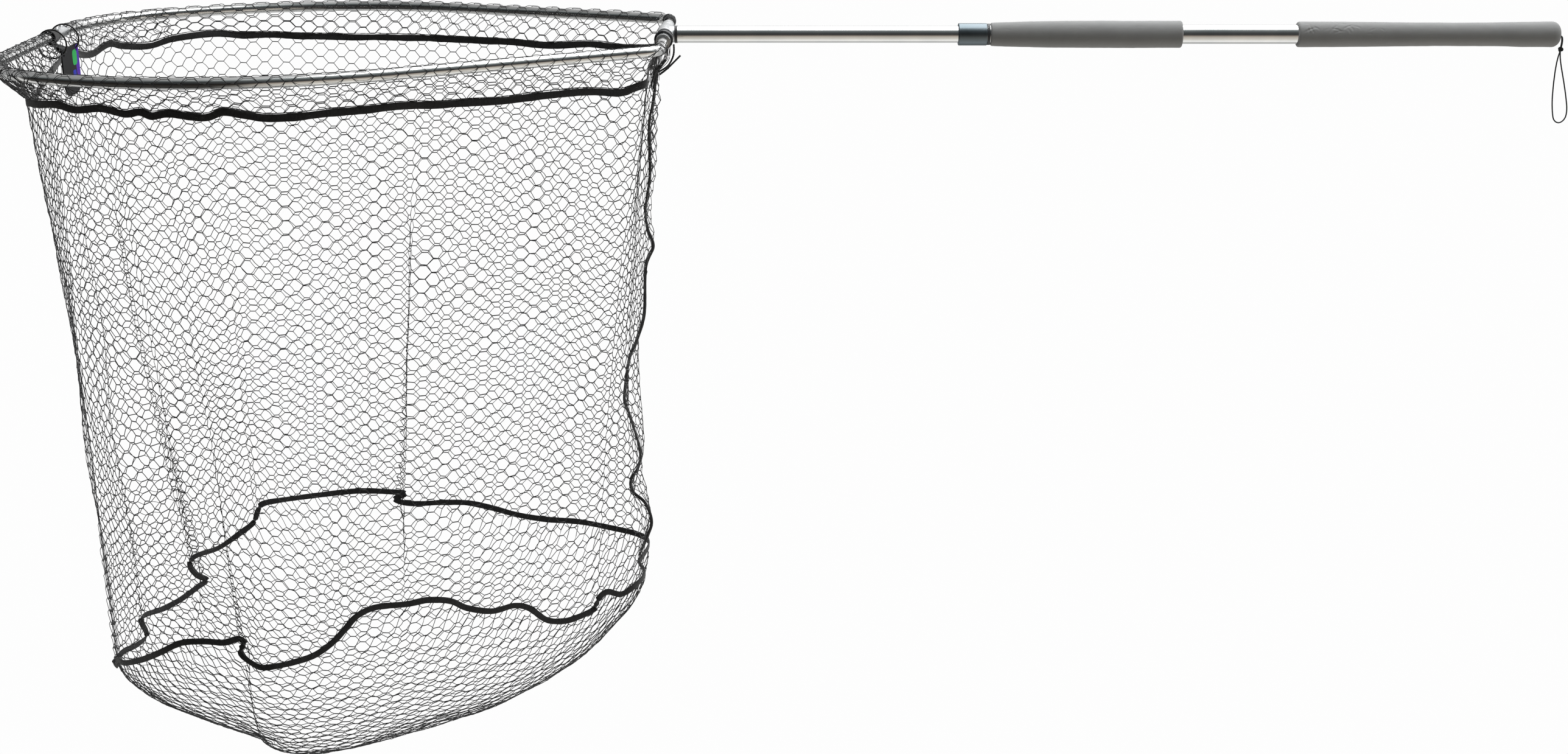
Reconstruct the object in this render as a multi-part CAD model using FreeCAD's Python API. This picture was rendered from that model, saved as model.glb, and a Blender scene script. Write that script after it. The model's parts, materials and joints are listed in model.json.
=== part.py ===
"""Long-handled landing net: a two-section twist-lock handle, a bent-tube hoop on a cast tee, and a net bag.

Millimetres. +X runs along the handle towards the butt, +Y is one side of the hoop, +Z is up and the
bag hangs towards -Z. The origin is on the handle's axis, in the middle of the bare tube between the
two foam grips, where a hand or a clamp carries the net.
"""
import FreeCAD, Part
import math
import os

from FreeCAD import Vector

os.makedirs("parts", exist_ok=True)

# ---- driving dimensions ------------------------------------------------------------------------
BARE_LENGTH = 154.0            # bare rear tube between the grips
FORE_GRIP_LENGTH = 255.0
REAR_GRIP_LENGTH = 350.0
COLLAR_LENGTH = 42.0           # fixed ferrule at the mouth of the rear tube
EXPOSED_LENGTH = 374.0         # front tube showing when the handle is pulled right out
LOCK_OVERLAP = 125.0           # front tube still inside the rear tube then

REAR_TUBE_R, REAR_WALL = 12.5, 1.0
FRONT_TUBE_R, FRONT_WALL = 11.0, 1.0
RUNNING_GAP = 0.3              # between surfaces that slide or turn past each other
FIT_GAP = 0.05                 # between pieces that are pushed together

HOOP_TUBE_R, HOOP_WALL = 7.0, 1.2
HOOP_LENGTH = 843.0            # yoke line to the centre line of the front bar
FRONT_HALF = 125.0             # half of the straight front bar
CORNER_R = 180.0               # front corners
CORNER_TURN = 60.0             # degrees that a front corner turns through
SIDE_R = 470.0                 # bowed sides
RAIL_ANGLE = 25.4              # degrees between a rear rail and the handle's axis
YOKE_R = 32.0                  # bends beside the tee
DROOP = 0.93                   # degrees that the head hangs below the handle's axis

TAPE_INSET = 16.0              # net hangs this far inside the hoop's centre line
TAPE_TOP, TAPE_HEIGHT, TAPE_THICK = -37.0, 10.0, 1.6
NET_SCALE = 0.9965             # inner face of a net panel, as a scale of its outer face

# The bag's three lower rings: distance in front of the yoke, half width, height. One line for each
# corner of the half outline, from the front bar round to the yoke.
BASE_RING = [(806, 20, -905), (765, 110, -865), (700, 185, -815), (520, 262, -755), (300, 185, -745),
             (45, 80, -750)]
LOWER_RING = [(770, 10, -945), (725, 62, -972), (655, 112, -1000), (515, 150, -1014), (325, 104, -985),
              (130, 40, -885)]
BAG_BOTTOM = (540, 0, -1042)
BAG_MIDDLE = (480, 0, -420)    # every panel's thickness points at this place

# ---- small pieces ---------------------------------------------------------------------------------
RING_WIDTH, RING_R = 4.0, 11.5 # adapter ring between the front tube and the tee
TEE_R, TEE_HALF = 11.5, 26.0   # barrel of the tee
NECK_R, NECK_HALF = 9.6, 68.0  # sockets that the hoop's ends are pinned in
SOCKET_END = 10.0              # inner end of each socket, from the middle
PIN_R, HOOP_PIN_R = 2.0, 1.6
HOOP_PIN_Y = 52.0

COLLAR_R, LIP = 14.8, 6.0      # the lip is the part of the collar in front of the rear tube
BUTT_DOME = 16.0               # length of the rear grip's closed end
PLUG_LENGTH = 20.0
CORD_HOLE_R = 2.9              # hole through the butt for the lanyard

SPINDLE_R, SPINDLE_LENGTH = 5.0, 34.0
SCREW_R, SCREW_DEPTH = 2.0, 14.0

SLEEVE_R, SLEEVE_LENGTH, SLEEVE_Y = 8.0, 40.0, 108.0
RIVET_R, RIVET_HEAD_R = 1.5, 3.2

YOKE_NET_Z = -17.0             # top of the netting under the tee, below the lashing
SLOT_FROM, SLOT_TO = 46.0, 126.0      # the collar of the net is open here, round the ties and the sleeve
SEAM_WIDTH, SEAM_THICK = 8.0, 1.4

LASH_R, LASH_TURNS = 1.3, (-52.0, -49.2, -46.4, -43.6)
TIE_YS, TIE_R = (52.0, 107.0), 1.1
TIE_LOOP_R, TIE_DX, TIE_DZ = 19.5, 6.5, -7.5
CARD_THICK, CARD_WIDTH, CARD_HEIGHT, CARD_CORNER_R = 2.0, 72.0, 66.0, 24.0
CARD_DX, CARD_Y, CARD_TOP = 19.0, 44.0, -15.0
EYE_R, EYE_Z = 3.2, -22.0
STRAP_R, STRAP_THICK, STRAP_WIDTH, STRAP_Y = 8.4, 1.4, 18.0, 60.0

# ---- places along the handle --------------------------------------------------------------------
half_bare = BARE_LENGTH / 2
fore_grip_x = -half_bare - FORE_GRIP_LENGTH
collar_x = fore_grip_x - COLLAR_LENGTH - 1
butt_x = half_bare + REAR_GRIP_LENGTH
ring_x = collar_x - EXPOSED_LENGTH
yoke_x = ring_x - RING_WIDTH - TEE_R - 0.5
rear_bore_r = REAR_TUBE_R - REAR_WALL
front_bore_r = FRONT_TUBE_R - FRONT_WALL
rear_tube_x = collar_x + LIP + 2
plug_x = butt_x - 12           # outer face of the butt plug's flange
cord_start_x = butt_x - 3
bar_x = yoke_x - HOOP_LENGTH   # centre line of the front bar, before the droop
front_tube_end = collar_x + LOCK_OVERLAP

X, Y, Z = Vector(1, 0, 0), Vector(0, 1, 0), Vector(0, 0, 1)

# ---- routes of the cords ------------------------------------------------------------------------
TIE_ROUTE = [(yoke_x + 13.0, -48, -6), (yoke_x + 14.0, -48, -16), (yoke_x + 10, -47, -28),
             (yoke_x + 3, -44, -38), (yoke_x - 8, -38, -44)]
TAIL_ROUTE = [(yoke_x - 6, -48, -46), (yoke_x + 2, -52, -40), (yoke_x + 12, -54, -30),
              (yoke_x + 22, -53, -20)]

LANYARD_D = 1.9
KNOT_AT, KNOT_R = (butt_x + 3.6, 0.0, -20.0), 3.4
LANYARD_ROUTE = [
    (butt_x - 3.0, -1.4, 0.0), (butt_x + 3.6, -1.4, -1.5), (butt_x + 4.8, -1.4, -9.0),
    (butt_x + 3.6, -1.3, -19.0), (butt_x + 0.6, -0.8, -31.0), (butt_x - 0.8, 0.0, -47.0),
    (butt_x - 1.2, 0.4, -67.0), (butt_x - 1.0, 0.4, -87.0), (butt_x + 0.8, 0.2, -104.0),
    (butt_x + 3.4, 0.0, -116.2), (butt_x + 11.5, 0.0, -120.4), (butt_x + 19.4, 0.0, -113.6),
    (butt_x + 20.4, -0.2, -101.0), (butt_x + 16.8, -0.4, -83.0), (butt_x + 12.0, -0.2, -63.0),
    (butt_x + 7.2, 0.2, -45.0), (butt_x + 4.2, 0.9, -31.0), (butt_x + 3.6, 1.3, -19.0),
    (butt_x + 4.8, 1.4, -9.0), (butt_x + 3.6, 1.4, -1.5), (butt_x - 3.0, 1.4, 0.0),
]


# ---- helpers --------------------------------------------------------------------------------------
def save(node, *solids):
    """Write one node from its solids and print its volume."""
    shape = solids[0] if len(solids) == 1 else Part.makeCompound(list(solids))
    shape.exportStep("parts/" + node + ".step")
    print(f"{node:22s} {len(shape.Solids):3d} solids {shape.Volume / 1000:9.2f} cm3 valid {shape.isValid()}")


def rod(radius, x0, x1, y=0.0, z=0.0):
    """A round bar along X."""
    return Part.makeCylinder(radius, x1 - x0, Vector(x0, y, z), X)


def tube(outer, inner, x0, x1):
    """A round tube along X."""
    return rod(outer, x0, x1).cut(rod(inner, x0 - 1, x1 + 1))


def round_rims(solid, xs, radius, smallest):
    """Round the circular edges that stand at the given x and are larger than the given radius."""
    rims = []
    for edge in solid.Edges:
        curve = edge.Curve
        if isinstance(curve, Part.Circle) and curve.Radius > smallest:
            if any(abs(curve.Center.x - x) < 0.01 for x in xs):
                rims.append(edge)
    return solid.makeFillet(radius, rims)


def grip(x0, x1, line, bore_r):
    """A foam grip: a smooth spline of (x, radius) points turned about X, with a through bore."""
    spline = Part.BSplineCurve()
    spline.interpolate([Vector(x, 0, r) for x, r in line])
    last_r, first_r = line[-1][1], line[0][1]
    ends = [Vector(x1, 0, last_r), Vector(x1, 0, bore_r), Vector(x0, 0, bore_r), Vector(x0, 0, first_r)]
    wire = Part.Wire([spline.toShape()] + Part.makePolygon(ends).Edges)
    return Part.Face(wire).revolve(Vector(0, 0, 0), X, 360)


def droop(shape):
    """Turn a piece of the head down about the yoke, as the whole head hangs."""
    turned_down = shape.copy()
    turned_down.rotate(Vector(yoke_x, 0, 0), Y, -DROOP)
    return turned_down


def head_point(u, y, z):
    """A place on the head, u in front of the yoke, after the droop."""
    a = math.radians(DROOP)
    return Vector(yoke_x - u * math.cos(a) - z * math.sin(a), y, z * math.cos(a) - u * math.sin(a))


def outline_points(inset):
    """The corners of half the hoop's outline as (u, y), moved inwards by inset.

    The half outline is a straight front bar, a corner arc, a bowed side arc, a straight rail, a yoke
    bend and a straight stub. A heading is the direction out of an arc's centre, in degrees from +Y.
    """
    def on_arc(centre, radius, heading):
        a = math.radians(heading)
        return (centre[0] + radius * math.sin(a), centre[1] + radius * math.cos(a))

    corner = (HOOP_LENGTH - CORNER_R, FRONT_HALF)
    side_heading = 90 - CORNER_TURN
    step = SIDE_R - CORNER_R
    a = math.radians(side_heading)
    side = (corner[0] - step * math.sin(a), corner[1] - step * math.cos(a))
    rail_start = on_arc(side, SIDE_R, -RAIL_ANGLE)
    slope = math.tan(math.radians(RAIL_ANGLE))
    rail_end_y = rail_start[1] - slope * rail_start[0]
    tangent = YOKE_R * math.tan(math.radians(90 - RAIL_ANGLE) / 2)
    bend = (YOKE_R, rail_end_y - tangent)
    return {
        "front": on_arc(corner, CORNER_R - inset, 90),
        "corner_mid": on_arc(corner, CORNER_R - inset, 90 - CORNER_TURN / 2),
        "corner_end": on_arc(corner, CORNER_R - inset, side_heading),
        "side_mid": on_arc(side, SIDE_R - inset, 0),
        "rail_start": on_arc(side, SIDE_R - inset, -RAIL_ANGLE),
        "bend_start": on_arc(bend, YOKE_R - inset, -RAIL_ANGLE),
        "bend_mid": on_arc(bend, YOKE_R - inset, -(90 + RAIL_ANGLE) / 2),
        "bend_end": on_arc(bend, YOKE_R - inset, -90),
    }


def half_outline(inset, side, y_front, y_yoke):
    """Edges of half the outline, from y_front on the front bar to y_yoke on the yoke line.

    side is +1 or -1 for the half; y_front and y_yoke are measured towards that side, so a negative
    value starts on the other half.
    """
    p = outline_points(inset)

    def at(name):
        u, y = p[name]
        return Vector(yoke_x - u, side * y, 0)

    def arc(start, middle, end):
        return Part.Arc(at(start), at(middle), at(end)).toShape()

    first = Vector(yoke_x - p["front"][0], side * y_front, 0)
    last = Vector(yoke_x - p["bend_end"][0], side * y_yoke, 0)
    return [
        Part.LineSegment(first, at("front")).toShape(),
        arc("front", "corner_mid", "corner_end"),
        arc("corner_end", "side_mid", "rail_start"),
        Part.LineSegment(at("rail_start"), at("bend_start")).toShape(),
        arc("bend_start", "bend_mid", "bend_end"),
        Part.LineSegment(at("bend_end"), last).toShape(),
    ]


def swept(edges, radius):
    """A round bar along a smooth run of edges."""
    path = Part.Wire(edges)
    start = edges[0].firstVertex().Point
    direction = edges[0].tangentAt(edges[0].FirstParameter)
    circle = Part.Wire([Part.makeCircle(radius, start, direction)])
    return path.makePipeShell([circle], True, True)


def net_ring(inset, z, yoke_z):
    """Six corners of the half outline on the head, at one height, and another under the tee."""
    p = outline_points(inset)
    names = ["front", "corner_mid", "corner_end", "side_mid", "rail_start"]
    ring = [head_point(p[n][0], p[n][1], z) for n in names]
    return ring + [head_point(TAPE_INSET, p["bend_start"][1], yoke_z)]


def bag_ring(rows, lift=0.0):
    """Six corners of the half outline of one of the bag's lower rings."""
    return [Vector(yoke_x - u, y, z + lift) for u, y, z in rows]


def mirrored(ring):
    """The whole closed ring from its half: the far side, then the near side backwards."""
    near = [Vector(v.x, -v.y, v.z) for v in reversed(ring)]
    return ring + near


def panel(corners):
    """A flat net panel: the corners, and the same corners drawn in towards the middle of the bag."""
    middle = Vector(yoke_x - BAG_MIDDLE[0], BAG_MIDDLE[1], BAG_MIDDLE[2])
    inner = [middle + (v - middle) * NET_SCALE for v in corners]
    count = len(corners)

    def face(points):
        return Part.Face(Part.makePolygon(points + points[:1]))

    faces = [face(corners), face(inner)]
    for i in range(count):
        j = (i + 1) % count
        faces.append(face([corners[i], corners[j], inner[j], inner[i]]))
    solid = Part.Solid(Part.Shell(faces))
    if solid.Volume < 0:
        solid.reverse()
    return solid


def band(upper, lower, flat):
    """Panels between two closed rings. Quads named in flat are one panel, the others are two."""
    panels = []
    count = len(upper)
    for i in range(count):
        j = (i + 1) % count
        if i in flat:
            panels.append(panel([upper[i], upper[j], lower[j], lower[i]]))
        else:
            panels.append(panel([upper[i], upper[j], lower[j]]))
            panels.append(panel([upper[i], lower[j], lower[i]]))
    return panels


def cord_edges(points, name):
    """Straight runs joined by tangent arcs, each as large as its two runs allow."""
    points = [Vector(*p) for p in points]
    edges, radii = [], []
    start = points[0]
    for before, corner, after in zip(points, points[1:], points[2:]):
        run_in, run_out = corner - before, after - corner
        turn = run_in.getAngle(run_out)
        cut = 0.45 * min(run_in.Length, run_out.Length)
        radius = cut / math.tan(turn / 2)
        a = corner - run_in.normalize() * cut
        b = corner + run_out.normalize() * cut
        bisector = ((a - corner) + (b - corner)).normalize()
        centre_gap = math.hypot(radius, cut)
        middle = corner + bisector * (centre_gap - radius)
        edges.append(Part.LineSegment(start, a).toShape())
        edges.append(Part.Arc(a, middle, b).toShape())
        radii.append(radius)
        start = b
    edges.append(Part.LineSegment(start, points[-1]).toShape())
    print(name, "radii", [round(r, 1) for r in radii])
    return edges


def cord(points, diameter, name):
    """A cord's tube, with its volume compared with its section times its length."""
    edges = cord_edges(points, name)
    solid = swept(edges, diameter / 2)
    length = sum(edge.Length for edge in edges)
    section = math.pi * diameter ** 2 / 4
    share = solid.Volume / (section * length)
    print(name, "length", round(length, 1), "volume over section x length", round(share, 4))
    return solid


# ---- rear handle ------------------------------------------------------------------------------------
def rear_handle():
    """Rear tube with its collar, guide bush, two foam grips and butt plug."""
    save("rear_tube", tube(REAR_TUBE_R, rear_bore_r, rear_tube_x, plug_x - 2))

    collar_end = fore_grip_x - 4.5
    collar = rod(COLLAR_R, collar_x, collar_end)
    collar = collar.cut(rod(FRONT_TUBE_R + RUNNING_GAP, collar_x - 1, collar_end + 1))
    collar = collar.cut(rod(REAR_TUBE_R + FIT_GAP, collar_x + LIP, collar_end + 1))
    save("collar_ferrule", round_rims(collar, [collar_x, collar_end], 1.4, COLLAR_R - 0.5))

    ring = tube(14.1, REAR_TUBE_R + FIT_GAP, collar_end + 0.3, fore_grip_x - 0.6)
    save("collar_seal_ring", ring)

    # The bush lines the rear tube's mouth and its flange is trapped behind the collar's lip.
    bush_bore_r = FRONT_TUBE_R + 0.15
    bush = tube(rear_bore_r - FIT_GAP, bush_bore_r, rear_tube_x, rear_tube_x + 24)
    flange = tube(REAR_TUBE_R - 0.1, bush_bore_r, collar_x + LIP + FIT_GAP, rear_tube_x)
    save("guide_bush", bush.fuse(flange).removeSplitter())

    fore_line = [(fore_grip_x, 15.3), (fore_grip_x + 35, 16.5), (fore_grip_x + 85, 17.6),
                 (fore_grip_x + 150, 17.9), (-half_bare, 17.9)]
    fore = grip(fore_grip_x, -half_bare, fore_line, REAR_TUBE_R + FIT_GAP)
    save("fore_grip", round_rims(fore, [fore_grip_x, -half_bare], 2.4, 14))

    # The rear grip swells at both ends and closes over the butt in a dome with a cord hole.
    shoulder_x = butt_x - BUTT_DOME
    rear_line = [(half_bare, 16.9), (half_bare + 75, 16.6), (half_bare + 145, 15.8), (half_bare + 210, 15.5),
                 (half_bare + 265, 15.8), (half_bare + 305, 16.6), (shoulder_x, 17.0)]
    body = grip(half_bare, shoulder_x, rear_line, 1.0)
    cap = rod(17.0, shoulder_x, butt_x)
    cap = round_rims(cap, [butt_x], 11.0, 16)
    rear = body.fuse(cap).removeSplitter()
    rear = rear.cut(rod(REAR_TUBE_R + FIT_GAP, half_bare - 1, plug_x + 0.5))
    rear = rear.cut(rod(CORD_HOLE_R, half_bare - 1, butt_x + 1))
    save("rear_grip", round_rims(rear, [half_bare], 2.4, 16))

    plug = rod(rear_bore_r - FIT_GAP, plug_x - 2 - PLUG_LENGTH, plug_x - 2)
    plug = plug.fuse(rod(REAR_TUBE_R - 0.1, plug_x - 2, plug_x))
    plug = plug.fuse(rod(CORD_HOLE_R - 0.1, plug_x, cord_start_x))
    save("butt_plug", plug.removeSplitter())


# ---- twist lock -------------------------------------------------------------------------------------
def twist_lock():
    """Spindle plug in the front tube's end, with a nylon expander that grips the rear tube's bore."""
    end = front_tube_end
    spindle_end = end + SPINDLE_LENGTH
    spindle = rod(front_bore_r - FIT_GAP, end - 22, end)
    spindle = spindle.fuse(rod(FRONT_TUBE_R - 0.2, end, end + 3)).fuse(rod(SPINDLE_R, end + 3, spindle_end))
    screw_hole = rod(SCREW_R, spindle_end - SCREW_DEPTH, spindle_end + 1)
    save("lock_spindle", spindle.removeSplitter().cut(screw_hole))

    gap = RUNNING_GAP
    expander = tube(rear_bore_r - gap, SPINDLE_R + gap, end + 3 + gap, spindle_end - gap)
    slot = Part.makeBox(40, 2.4, 20, Vector(end, -1.2, 0))
    for x in (end + 9, end + 16, end + 23):
        expander = expander.cut(tube(rear_bore_r + 1, rear_bore_r - 1.1, x, x + 2.5))
    save("lock_expander", expander.cut(slot))

    washer = tube(9.0, SCREW_R + 0.1, spindle_end, spindle_end + 1.5)
    save("lock_washer", washer)
    head = rod(4.0, spindle_end + 1.5, spindle_end + 4.5)
    shank = rod(SCREW_R - 0.02, spindle_end - SCREW_DEPTH, spindle_end + 1.5)
    hex_socket = Part.Face(Part.makePolygon([
        Vector(spindle_end + 2.5, 1.6 * math.cos(math.radians(a)), 1.6 * math.sin(math.radians(a)))
        for a in range(0, 361, 60)])).extrude(Vector(3, 0, 0))
    save("lock_screw", head.fuse(shank).removeSplitter().cut(hex_socket))


# ---- front section and hoop -------------------------------------------------------------------------
def front_section():
    """Front tube, its adapter ring and the tee. Returns the pins that hold the hoop's ends."""
    pin_x = ring_x + 22
    pin = Part.makeCylinder(PIN_R, FRONT_TUBE_R, Vector(pin_x, 0, 0), Y)
    front = tube(FRONT_TUBE_R, front_bore_r, ring_x, front_tube_end)
    save("front_tube", front.cut(pin))
    ring = tube(RING_R, front_bore_r, ring_x - RING_WIDTH, ring_x)
    save("adapter_ring", round_rims(ring, [ring_x - RING_WIDTH], 0.8, RING_R - 0.5))

    barrel = Part.makeCylinder(TEE_R, 2 * TEE_HALF, Vector(yoke_x, -TEE_HALF, 0), Y)
    necks = Part.makeCylinder(NECK_R, 2 * NECK_HALF, Vector(yoke_x, -NECK_HALF, 0), Y)
    cast = barrel.fuse(necks).removeSplitter()
    for side in (-1, 1):
        groove = Part.makeTorus(NECK_R + 0.4, 1.0, Vector(yoke_x, side * (NECK_HALF - 7), 0), Y)
        cast = cast.cut(groove)
    cast = droop(cast)
    boss = rod(FRONT_TUBE_R - 0.3, yoke_x, ring_x - RING_WIDTH)
    spigot = rod(front_bore_r - FIT_GAP, yoke_x, ring_x + 45)
    cast = cast.fuse(boss).fuse(spigot).removeSplitter()
    for side in (-1, 1):
        mouth = Vector(yoke_x, side * SOCKET_END, 0)
        socket = Part.makeCylinder(HOOP_TUBE_R + FIT_GAP, NECK_HALF, mouth, Y * side)
        cast = cast.cut(droop(socket))
    cast = cast.cut(pin)
    end_pins = []
    for side in (-1, 1):
        foot = Vector(yoke_x, side * HOOP_PIN_Y, -NECK_R)
        end_pins.append(droop(Part.makeCylinder(HOOP_PIN_R, 2 * NECK_R, foot, Z)))
    for one in end_pins:
        cast = cast.cut(one)
    save("tee_casting", cast)
    save("spigot_pin", pin)
    save("hoop_end_pins", *end_pins)
    return end_pins


def hoop(end_pins):
    """Two bent tubes that meet in a riveted sleeve on the front bar."""
    rivets = []
    for offset in (-SLEEVE_LENGTH / 4, SLEEVE_LENGTH / 4):
        base = Vector(bar_x, SLEEVE_Y + offset, 0)
        shank = Part.makeCylinder(RIVET_R, SLEEVE_R + 0.2, base, Z)
        head = Part.makeSphere(RIVET_HEAD_R, base + Vector(0, 0, SLEEVE_R - RIVET_HEAD_R / 2))
        keep = Part.makeCylinder(RIVET_HEAD_R, RIVET_HEAD_R, base + Vector(0, 0, SLEEVE_R), Z)
        rivets.append(shank.fuse(head.common(keep)).removeSplitter())

    near_edges = half_outline(0, -1, -SLEEVE_Y, SOCKET_END + 1)
    far_edges = half_outline(0, 1, SLEEVE_Y, SOCKET_END + 1)
    for name, edges in (("hoop_near_rail", near_edges), ("hoop_far_rail", far_edges)):
        rail = swept(edges, HOOP_TUBE_R).cut(swept(edges, HOOP_TUBE_R - HOOP_WALL))
        for one in rivets:
            rail = rail.cut(one)
        rail = droop(rail)
        for one in end_pins:
            rail = rail.cut(one)
        save(name, rail)

    start = Vector(bar_x, SLEEVE_Y - SLEEVE_LENGTH / 2, 0)
    sleeve = Part.makeCylinder(SLEEVE_R, SLEEVE_LENGTH, start, Y)
    sleeve = sleeve.cut(Part.makeCylinder(HOOP_TUBE_R + FIT_GAP, SLEEVE_LENGTH + 2, start - Y, Y))
    for one in rivets:
        sleeve = sleeve.cut(one)
    save("hoop_joint_sleeve", droop(sleeve))
    save("hoop_joint_rivets", *[droop(one) for one in rivets])


# ---- net bag ------------------------------------------------------------------------------------------
def net_bag():
    """The collar under the hoop, the two binding tapes, the wall, the base and the seam tape."""
    front_side, yoke_side = 11, 5     # the quads that close the ring across the front and the yoke
    collar_upper = mirrored(net_ring(1.0, -HOOP_TUBE_R - 1.0, YOKE_NET_Z))
    collar_foot = TAPE_TOP + 2.5
    collar_lower = mirrored(net_ring(TAPE_INSET - 1.5, collar_foot, collar_foot))
    collar = band(collar_upper, collar_lower, [])
    open_part = Part.makeBox(80, SLOT_TO - SLOT_FROM, 80, Vector(bar_x - 20, SLOT_FROM, -80))
    collar = [piece.cut(open_part) for piece in collar]
    collar = [solid for piece in collar for solid in piece.Solids if solid.Volume > 1.0]
    save("net_collar", *collar)

    tape_z = TAPE_TOP - TAPE_HEIGHT
    rings = []
    for inset in (TAPE_INSET, TAPE_INSET + TAPE_THICK):
        edges = half_outline(inset, 1, 0, 0) + half_outline(inset, -1, 0, 0)
        rings.append(Part.Face(Part.Wire(Part.__sortEdges__(edges))).extrude(Vector(0, 0, TAPE_HEIGHT)))
    tape = rings[0].cut(rings[1])
    tape.translate(Vector(0, 0, tape_z))
    save("top_tape", droop(tape))

    half_tape = TAPE_HEIGHT / 2 + 0.5
    wall_upper = mirrored(net_ring(TAPE_INSET, tape_z - 1.0, tape_z - 1.0))
    wall_lower = mirrored(bag_ring(BASE_RING, half_tape + 0.5))
    save("net_wall", *band(wall_upper, wall_lower, [front_side, yoke_side]))
    tape_upper = mirrored(bag_ring(BASE_RING, half_tape))
    tape_lower = mirrored(bag_ring(BASE_RING, -half_tape))
    save("base_tape", *band(tape_upper, tape_lower, range(len(tape_upper))))
    base_upper = mirrored(bag_ring(BASE_RING, -half_tape - 0.5))
    lower = mirrored(bag_ring(LOWER_RING))
    bottom = Vector(yoke_x - BAG_BOTTOM[0], BAG_BOTTOM[1], BAG_BOTTOM[2])
    fan = [panel([lower[i], lower[(i + 1) % len(lower)], bottom]) for i in range(len(lower))]
    save("net_base", *(band(base_upper, lower, [front_side, yoke_side]) + fan))

    # The seam tape runs down the middle of the yoke end, just outside the netting.
    top, low = wall_upper[yoke_side], wall_lower[yoke_side]
    inner, outer = 0.4, 0.4 + SEAM_THICK
    line = [(top.x + inner, top.z - 1), (top.x + outer, top.z - 1),
            (low.x + outer, low.z), (low.x + inner, low.z)]
    seam = Part.Face(Part.makePolygon([Vector(x, -SEAM_WIDTH / 2, z) for x, z in line + line[:1]]))
    save("seam_tape", seam.extrude(Vector(0, SEAM_WIDTH, 0)))


# ---- lashing at the yoke, tag and lanyard --------------------------------------------------------------
def lashing():
    """The cord wound round the near socket of the tee, the strand to the net and the cut tail."""
    turns = [Part.makeTorus(NECK_R + LASH_R + 0.3, LASH_R, Vector(yoke_x, y, 0), Y) for y in LASH_TURNS]
    save("lashing_wraps", *[droop(turn) for turn in turns])
    save("lashing_tie", cord(TIE_ROUTE, 2 * LASH_R, "lashing_tie"))
    save("lashing_tail", cord(TAIL_ROUTE, 2 * LASH_R, "lashing_tail"))


def tag():
    """A card tag on two plastic ties and a webbing strap, all hung on the front bar."""
    ties = [Part.makeTorus(TIE_LOOP_R, TIE_R, Vector(bar_x + TIE_DX, y, TIE_DZ), Y) for y in TIE_YS]
    save("tag_ties", *[droop(tie) for tie in ties])

    card = Part.makeBox(CARD_THICK, CARD_WIDTH, CARD_HEIGHT,
                        Vector(bar_x + CARD_DX, CARD_Y, CARD_TOP - CARD_HEIGHT))
    corners = [edge for edge in card.Edges if abs(edge.Length - CARD_THICK) < 0.01]
    lower = [edge for edge in corners if edge.BoundBox.ZMax < CARD_TOP - 1]
    card = card.makeFillet(CARD_CORNER_R, lower)
    for y in TIE_YS:
        card = card.cut(rod(EYE_R, bar_x + CARD_DX - 1, bar_x + CARD_DX + CARD_THICK + 1, y, EYE_Z))
    save("tag_card", droop(card))

    # The strap wraps the bar and runs down to the card between the ties.
    outer, inner = STRAP_R + STRAP_THICK, STRAP_R
    strap_from = Vector(bar_x, STRAP_Y, 0)
    wrap = Part.makeCylinder(outer, STRAP_WIDTH, strap_from, Y)
    card_face = bar_x + CARD_DX
    leg = Part.makePolygon([Vector(bar_x + 1, STRAP_Y, -inner), Vector(card_face, STRAP_Y, CARD_TOP - 2),
                            Vector(card_face, STRAP_Y, CARD_TOP - 7), Vector(bar_x + 1, STRAP_Y, -outer),
                            Vector(bar_x + 1, STRAP_Y, -inner)])
    leg = Part.Face(leg).extrude(Vector(0, STRAP_WIDTH, 0))
    strap = wrap.fuse(leg).cut(Part.makeCylinder(inner, STRAP_WIDTH + 2, strap_from - Y, Y))
    save("tag_strap", droop(strap.removeSplitter()))


def lanyard():
    """The cord loop at the butt and the knot that closes it."""
    save("lanyard_cord", cord(LANYARD_ROUTE, LANYARD_D, "lanyard_cord"))
    save("lanyard_knot", Part.makeSphere(KNOT_R, Vector(*KNOT_AT)))


rear_handle()
twist_lock()
hoop(front_section())
net_bag()
lashing()
tag()
lanyard()
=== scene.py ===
# %% [markdown]
# # A landing net, step by step
# The net has three families of parts: metal tubes that are exactly round, foam grips that are nearly
# round, and a bag of knotless netting that is nothing but thin cord. The tubes come finished from the
# CAD model. The soft things are made here, as surfaces and strands worked out with numpy, in the same
# metres and the same places as the model.

import json
import math

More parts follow.
